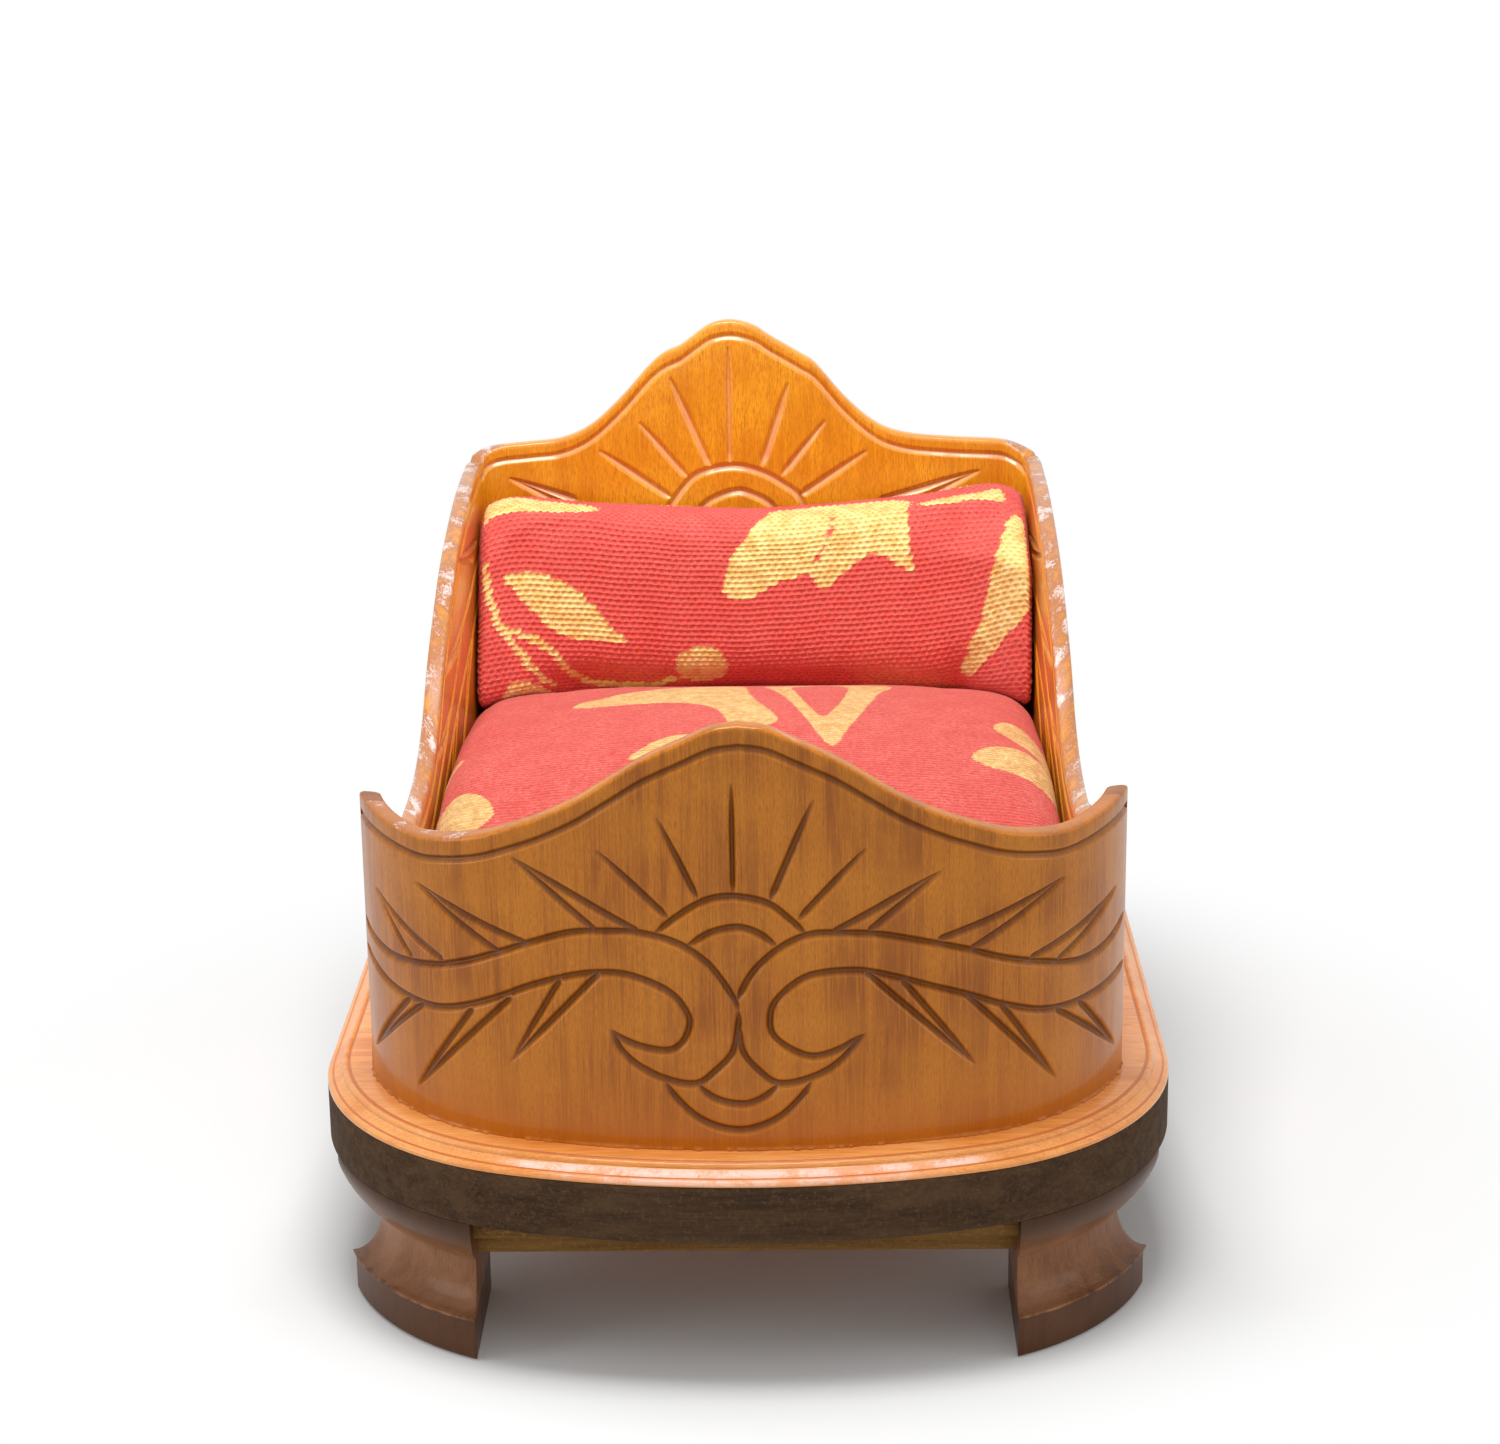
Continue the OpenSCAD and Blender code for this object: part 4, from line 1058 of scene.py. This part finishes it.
def rough_wood(name, deep, mid, axis, rough=0.75):
    """Sawn wood that was stained or left raw."""
    s = Shader(bpy.data.materials.new(name))
    point = s.millimetres()
    fibre = s.along_grain(point, axis)
    fine = s.noise(fibre, 1.6, 6, 0.72)
    broad = s.noise(fibre, 0.25, 3, 0.5, 0.4)
    spots = s.noise(point, 0.8, 4, 0.8)
    color = s.mix(s.span(s.total((fine, 0.5), (broad, 0.5)), 0.3, 0.66), deep, mid)
    color = s.mix(s.span(spots, 0.5, 0.68, 0.0, 0.7), color, tinted(mid, 1.5, 1.5, 1.5))
    return s.finish({"Base Color": color, "Roughness": rough, "IOR": 1.45,
                     "Specular IOR Level": 0.15,
                     "Normal": s.bump(s.total((fine, 1.0), (spots, 0.5)), 0.5, 0.4)})


def printed_cloth(name, red, deep, gold, gold_deep, terry):
    """Red pile with a gold print. The print's edge is broken up by the pile."""
    s = Shader(bpy.data.materials.new(name))
    point = s.millimetres()
    fuzz = s.noise(point, 1.6, 4, 0.7) if terry else s.noise(point, 0.9, 4, 0.8)
    slow = s.noise(point, 0.09, 3, 0.5)
    worn = s.noise(point, 0.22, 4, 0.6)
    inside = s.span(s.shifted(s.attribute("print"), fuzz, 0.8 if terry else 2.6), -0.35, 0.35)
    ground = s.mix(s.span(fuzz, 0.3, 0.7), deep, red)
    ground = s.mix(s.span(slow, 0.35, 0.7, 0.0, 0.4), ground, deep)
    pale = s.mix(s.span(s.total((fuzz, 0.4), (worn, 0.6)), 0.38, 0.6), gold_deep, gold)
    color = s.mix(inside, ground, pale)
    if terry:
        # Painted shade between the loops, and warmer on some of them
        between = s.span(s.attribute("terry"), 0.05, 0.8, 0.52, 0.0)
        color = s.mix(between, color, tinted(deep, 0.6, 1.6, 1.6), "MULTIPLY")
        some = s.span(s.attribute("shade"), 0.6, 1.0, 0.0, 0.3)
        color = s.mix(some, color, (1.0, 0.42, 0.3, 1), "SOFT_LIGHT")
        height, power = fuzz, 0.5
    else:
        # Ribs of pile across the bed
        wave = s.add("ShaderNodeTexWave", {"Vector": point, "Scale": 0.165, "Distortion": 1.2,
                                           "Detail": 2.0, "Detail Scale": 0.6},
                     bands_direction="Y")
        height, power = s.total((wave, 0.6), (fuzz, 1.0)), 1.0
        pile = s.total((s.noise(point, 0.6, 3, 0.85), 1.0), (wave, 0.16))
        color = s.mix(s.span(pile, 0.44, 0.74, 1.0, 0.0), color, (0.84, 0.56, 0.52, 1), "MULTIPLY")
    return s.finish({"Base Color": color, "Roughness": 0.95, "Specular IOR Level": 0.15,
                     "Sheen Weight": 0.3, "Sheen Roughness": 0.5,
                     "Sheen Tint": (1.0, 0.72, 0.66, 1), "Normal": s.bump(height, power, 0.9)})


def metal(name):
    s = Shader(bpy.data.materials.new(name))
    fine = s.noise(s.millimetres(), 6.0, 3, 0.6)
    return s.finish({"Base Color": s.mix(fine, rgb(150, 150, 152), rgb(196, 196, 198)),
                     "Metallic": 1.0, "Roughness": s.span(fine, 0.2, 0.8, 0.28, 0.42)})


# The footboard's varnish is darker and browner than the shell's: partly its own tone, partly
# painted shade for its less lit face. Its zones are painted light bounced up from the base board,
# and its rim's white specks are painted highlights
footboard_wood = varnished(
    "footboard_varnish", rgb(150, 80, 8), rgb(190, 112, 16), rgb(208, 130, 28), 0.34,
    rim=rgb(160, 94, 40), pale=(0.57, 0.68), ior=1.25, streak=1.7, worn_and_sheen_from=0.45, dashes=0.45,
    painted_light_zones=[(10, 52, 0.2, rgb(190, 106, 10)), (-2, 20, 0.55, rgb(196, 108, 8))])
# The shell's pale cut colour and its rims' white specks are painted highlights
shell_wood = varnished(
    "shell_varnish", rgb(200, 114, 8), rgb(241, 162, 24), rgb(248, 178, 40), 0.8,
    rim=rgb(170, 102, 48), pale=(0.5, 0.62), cut=rgb(236, 170, 122), streak=0.5, highlight_share=0.8)
# The base board's dark cut colour is painted shade in its creases; its pale rim colour and white
# specks are painted highlights at the front
base_wood = varnished(
    "base_varnish", rgb(208, 120, 46), rgb(242, 163, 86), rgb(246, 178, 108), 0.5, axis=0,
    unrolled=False, pores=0.5, ior=1.25, gloss=0.1, cut=rgb(182, 92, 34),
    rim=rgb(242, 164, 118), pale=(0.4, 0.54), highlight_share=0.6, worn_and_sheen_from=0.25)
# The feet are darkened over their top and below the ridge, which leaves the cove between lighter:
# painted shade and light
foot_wood = varnished(
    "foot_varnish", rgb(112, 70, 42), rgb(142, 96, 64), rgb(172, 124, 90), 0.2,
    unrolled=False, rough=0.4, ior=1.15, dashes=0.2,
    painted_light_zones=[(12.3, 13.2, 0.75, rgb(60, 34, 18)), (42, 27, 0.85, rgb(56, 36, 22))])
frame_wood = rough_wood("frame_stain", rgb(46, 31, 19), rgb(80, 58, 38), 0)
side_wood = rough_wood("frame_side_stain", rgb(46, 31, 19), rgb(80, 58, 38), 1)
# The battens' raw wood is darkened for the shade it stands in under the base: painted shade
raw_wood = rough_wood("raw_batten", rgb(82, 54, 22), rgb(130, 94, 46), 0, rough=0.7)
mattress_cloth = printed_cloth("mattress_velour", rgb(255, 134, 122), rgb(228, 70, 64),
                               rgb(254, 232, 152), rgb(240, 194, 112), False)
pillow_cloth = printed_cloth("pillow_terry_cloth", rgb(248, 122, 112), rgb(224, 82, 76),
                             rgb(255, 238, 160), rgb(242, 198, 114), True)
steel = metal("screw_steel")


# The pieces

def finish_piece(piece, material, body, slot, *nodes):
    piece.data.materials.clear()
    piece.data.materials.append(material)
    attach(piece, body)
    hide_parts(*nodes)
    return piece


finish_piece(build_footboard(), footboard_wood, "bed", "lacquered_wood", "footboard")
finish_piece(build_shell(), shell_wood, "bed", "lacquered_wood", "headboard_shell")
finish_piece(build_base_board(), base_wood, "bed", "lacquered_wood", "base_board")

# Columns of the outline where the frame's members meet
RIGHT_FRONT = N_FRONT + N_CORNER
RIGHT_BACK = RIGHT_FRONT + N_SIDE
N_OUTLINE = len(base_outline(0))
LEFT_BACK, LEFT_FRONT = N_OUTLINE - RIGHT_BACK, N_OUTLINE - RIGHT_FRONT
for name, stain, first, last in (("frame_front", frame_wood, LEFT_FRONT, RIGHT_FRONT),
                                 ("frame_right", side_wood, RIGHT_FRONT, RIGHT_BACK),
                                 ("frame_back", frame_wood, RIGHT_BACK, LEFT_BACK),
                                 ("frame_left", side_wood, LEFT_BACK, LEFT_FRONT)):
    member = build_frame_member(name + "_sawn", first, last + 1)
    finish_piece(member, stain, "bed", "dark_wood", name)
for name in ("foot_front_left", "foot_front_right", "foot_back_left", "foot_back_right"):
    foot = softened(name, name + "_sanded", 0.45, 3, real_foot)
    finish_piece(foot, foot_wood, "bed", "dark_wood", name)
for name in ("batten_front_upper", "batten_front_lower", "batten_back_upper",
             "batten_back_lower"):
    finish_piece(softened(name, name + "_sawn", 0.35, 2), raw_wood, "bed", "raw_wood", name)
for name in ("wall_screws", "foot_screws", "batten_screws"):
    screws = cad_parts[name]
    screws.data.materials.clear()
    screws.data.materials.append(steel)

mattress = finish_piece(build_mattress(), mattress_cloth, "mattress", "mattress_cloth", "mattress")
pillow = finish_piece(build_pillow(), pillow_cloth, "pillow", "pillow_cloth", "pillow")


# Floor, light and camera

def area(name, at, towards, size, power):
    lamp = bpy.data.lights.new(name, "AREA")
    lamp.shape = "RECTANGLE"
    lamp.size, lamp.size_y = size
    lamp.energy = power
    holder = add_object(name, lamp)
    holder.location = at
    holder.rotation_euler = (Vector(towards) - Vector(at)).to_track_quat("-Z", "Y").to_euler()


def seen_directly(s):
    """1 for rays from the camera or through a mirror or glass, which see the plain background."""
    path = s.add("ShaderNodeLightPath").node
    return s.math("MAXIMUM", path.outputs["Is Camera Ray"],
                  s.math("MAXIMUM", path.outputs["Is Glossy Ray"],
                         path.outputs["Is Transmission Ray"]))


FLOOR_FADES = 140, 300      # where the floor starts and ends to fade into the background
GREYS = (0.8, 0.8, 0.8, 1), (0.83, 0.83, 0.83, 1)
WHITE = (1, 1, 1, 1)


def build_floor():
    """A pale floor that fades to the white background away from the bed."""
    mesh = bpy.data.meshes.new("floor")
    mesh.from_pydata([(-6, -6, 0), (6, -6, 0), (6, 8, 0), (-6, 8, 0)], [], [(0, 1, 2, 3)])
    s = Shader(bpy.data.materials.new("floor_paint"))
    point = s.millimetres()
    grey = s.mix(s.noise(point, 0.01, 2, 0.5), *GREYS)
    paint = s.add("ShaderNodeBsdfDiffuse", {"Color": grey})
    white = s.add("ShaderNodeEmission", {"Color": WHITE, "Strength": 1.0})
    away = s.add("ShaderNodeVectorMath", {0: point}, out=1, operation="LENGTH")
    far = s.span(away, *FLOOR_FADES)
    faded = s.math("MULTIPLY", far, seen_directly(s))
    surface = s.add("ShaderNodeMixShader", {0: faded, 1: paint, 2: white})
    s.add("ShaderNodeOutputMaterial", {"Surface": surface})
    mesh.materials.append(s.owner)
    add_object("floor", mesh)


def build_world(strength):
    """White for what sees it directly, and a plain white light of the given strength."""
    s = Shader(bpy.data.worlds.new("studio"))
    shown = s.span(seen_directly(s), 0, 1, strength, 1.0)
    light = s.add("ShaderNodeBackground", {"Color": WHITE, "Strength": shown})
    s.add("ShaderNodeOutputWorld", {"Surface": light})
    bpy.context.scene.world = s.owner


# The camera as fitted to the photo's outline: angles in radians, its place, and its lens
PITCH, YAW, ROLL = 0.2957, 0.0179, -0.0138
CAMERA_AT = (17.6, -855.6, 364.5)
SENSOR, FOCAL = 36, 76.8


def build_camera():
    level = math.cos(PITCH)
    forward = Vector((-math.sin(YAW) * level, math.cos(YAW) * level, -math.sin(PITCH)))
    right = Vector((math.cos(YAW), math.sin(YAW), 0))
    up = right.cross(forward)
    rolled = (right * math.cos(ROLL) + up * math.sin(ROLL),
              up * math.cos(ROLL) - right * math.sin(ROLL), -forward)
    lens = bpy.data.cameras.new("camera")
    lens.sensor_width, lens.lens = SENSOR, FOCAL
    lens.clip_start, lens.clip_end = 0.01, 50
    camera = add_object("camera", lens)
    turn = Matrix(rolled).transposed().to_4x4()
    camera.matrix_world = Matrix.Translation(Vector(place(CAMERA_AT))) @ turn
    bpy.context.scene.camera = camera


build_floor()
# Each lamp: where it is and points to, its width and height, all in metres, and its power
area("key", (-0.05, -0.14, 0.80), (-0.02, 0.02, 0.1), (0.40, 0.30), 5.6)
area("front", (0.2, -1.2, 0.6), (0, 0, 0.1), (0.8, 0.6), 1.0)
area("left", (-1.1, -0.4, 0.5), (0, -0.1, 0.1), (0.5, 0.5), 2.2)
area("right", (1.1, -0.3, 0.5), (0, -0.1, 0.1), (0.5, 0.5), 1.2)
build_world(0.45)
bpy.context.scene.view_settings.view_transform = "Standard"
build_camera()
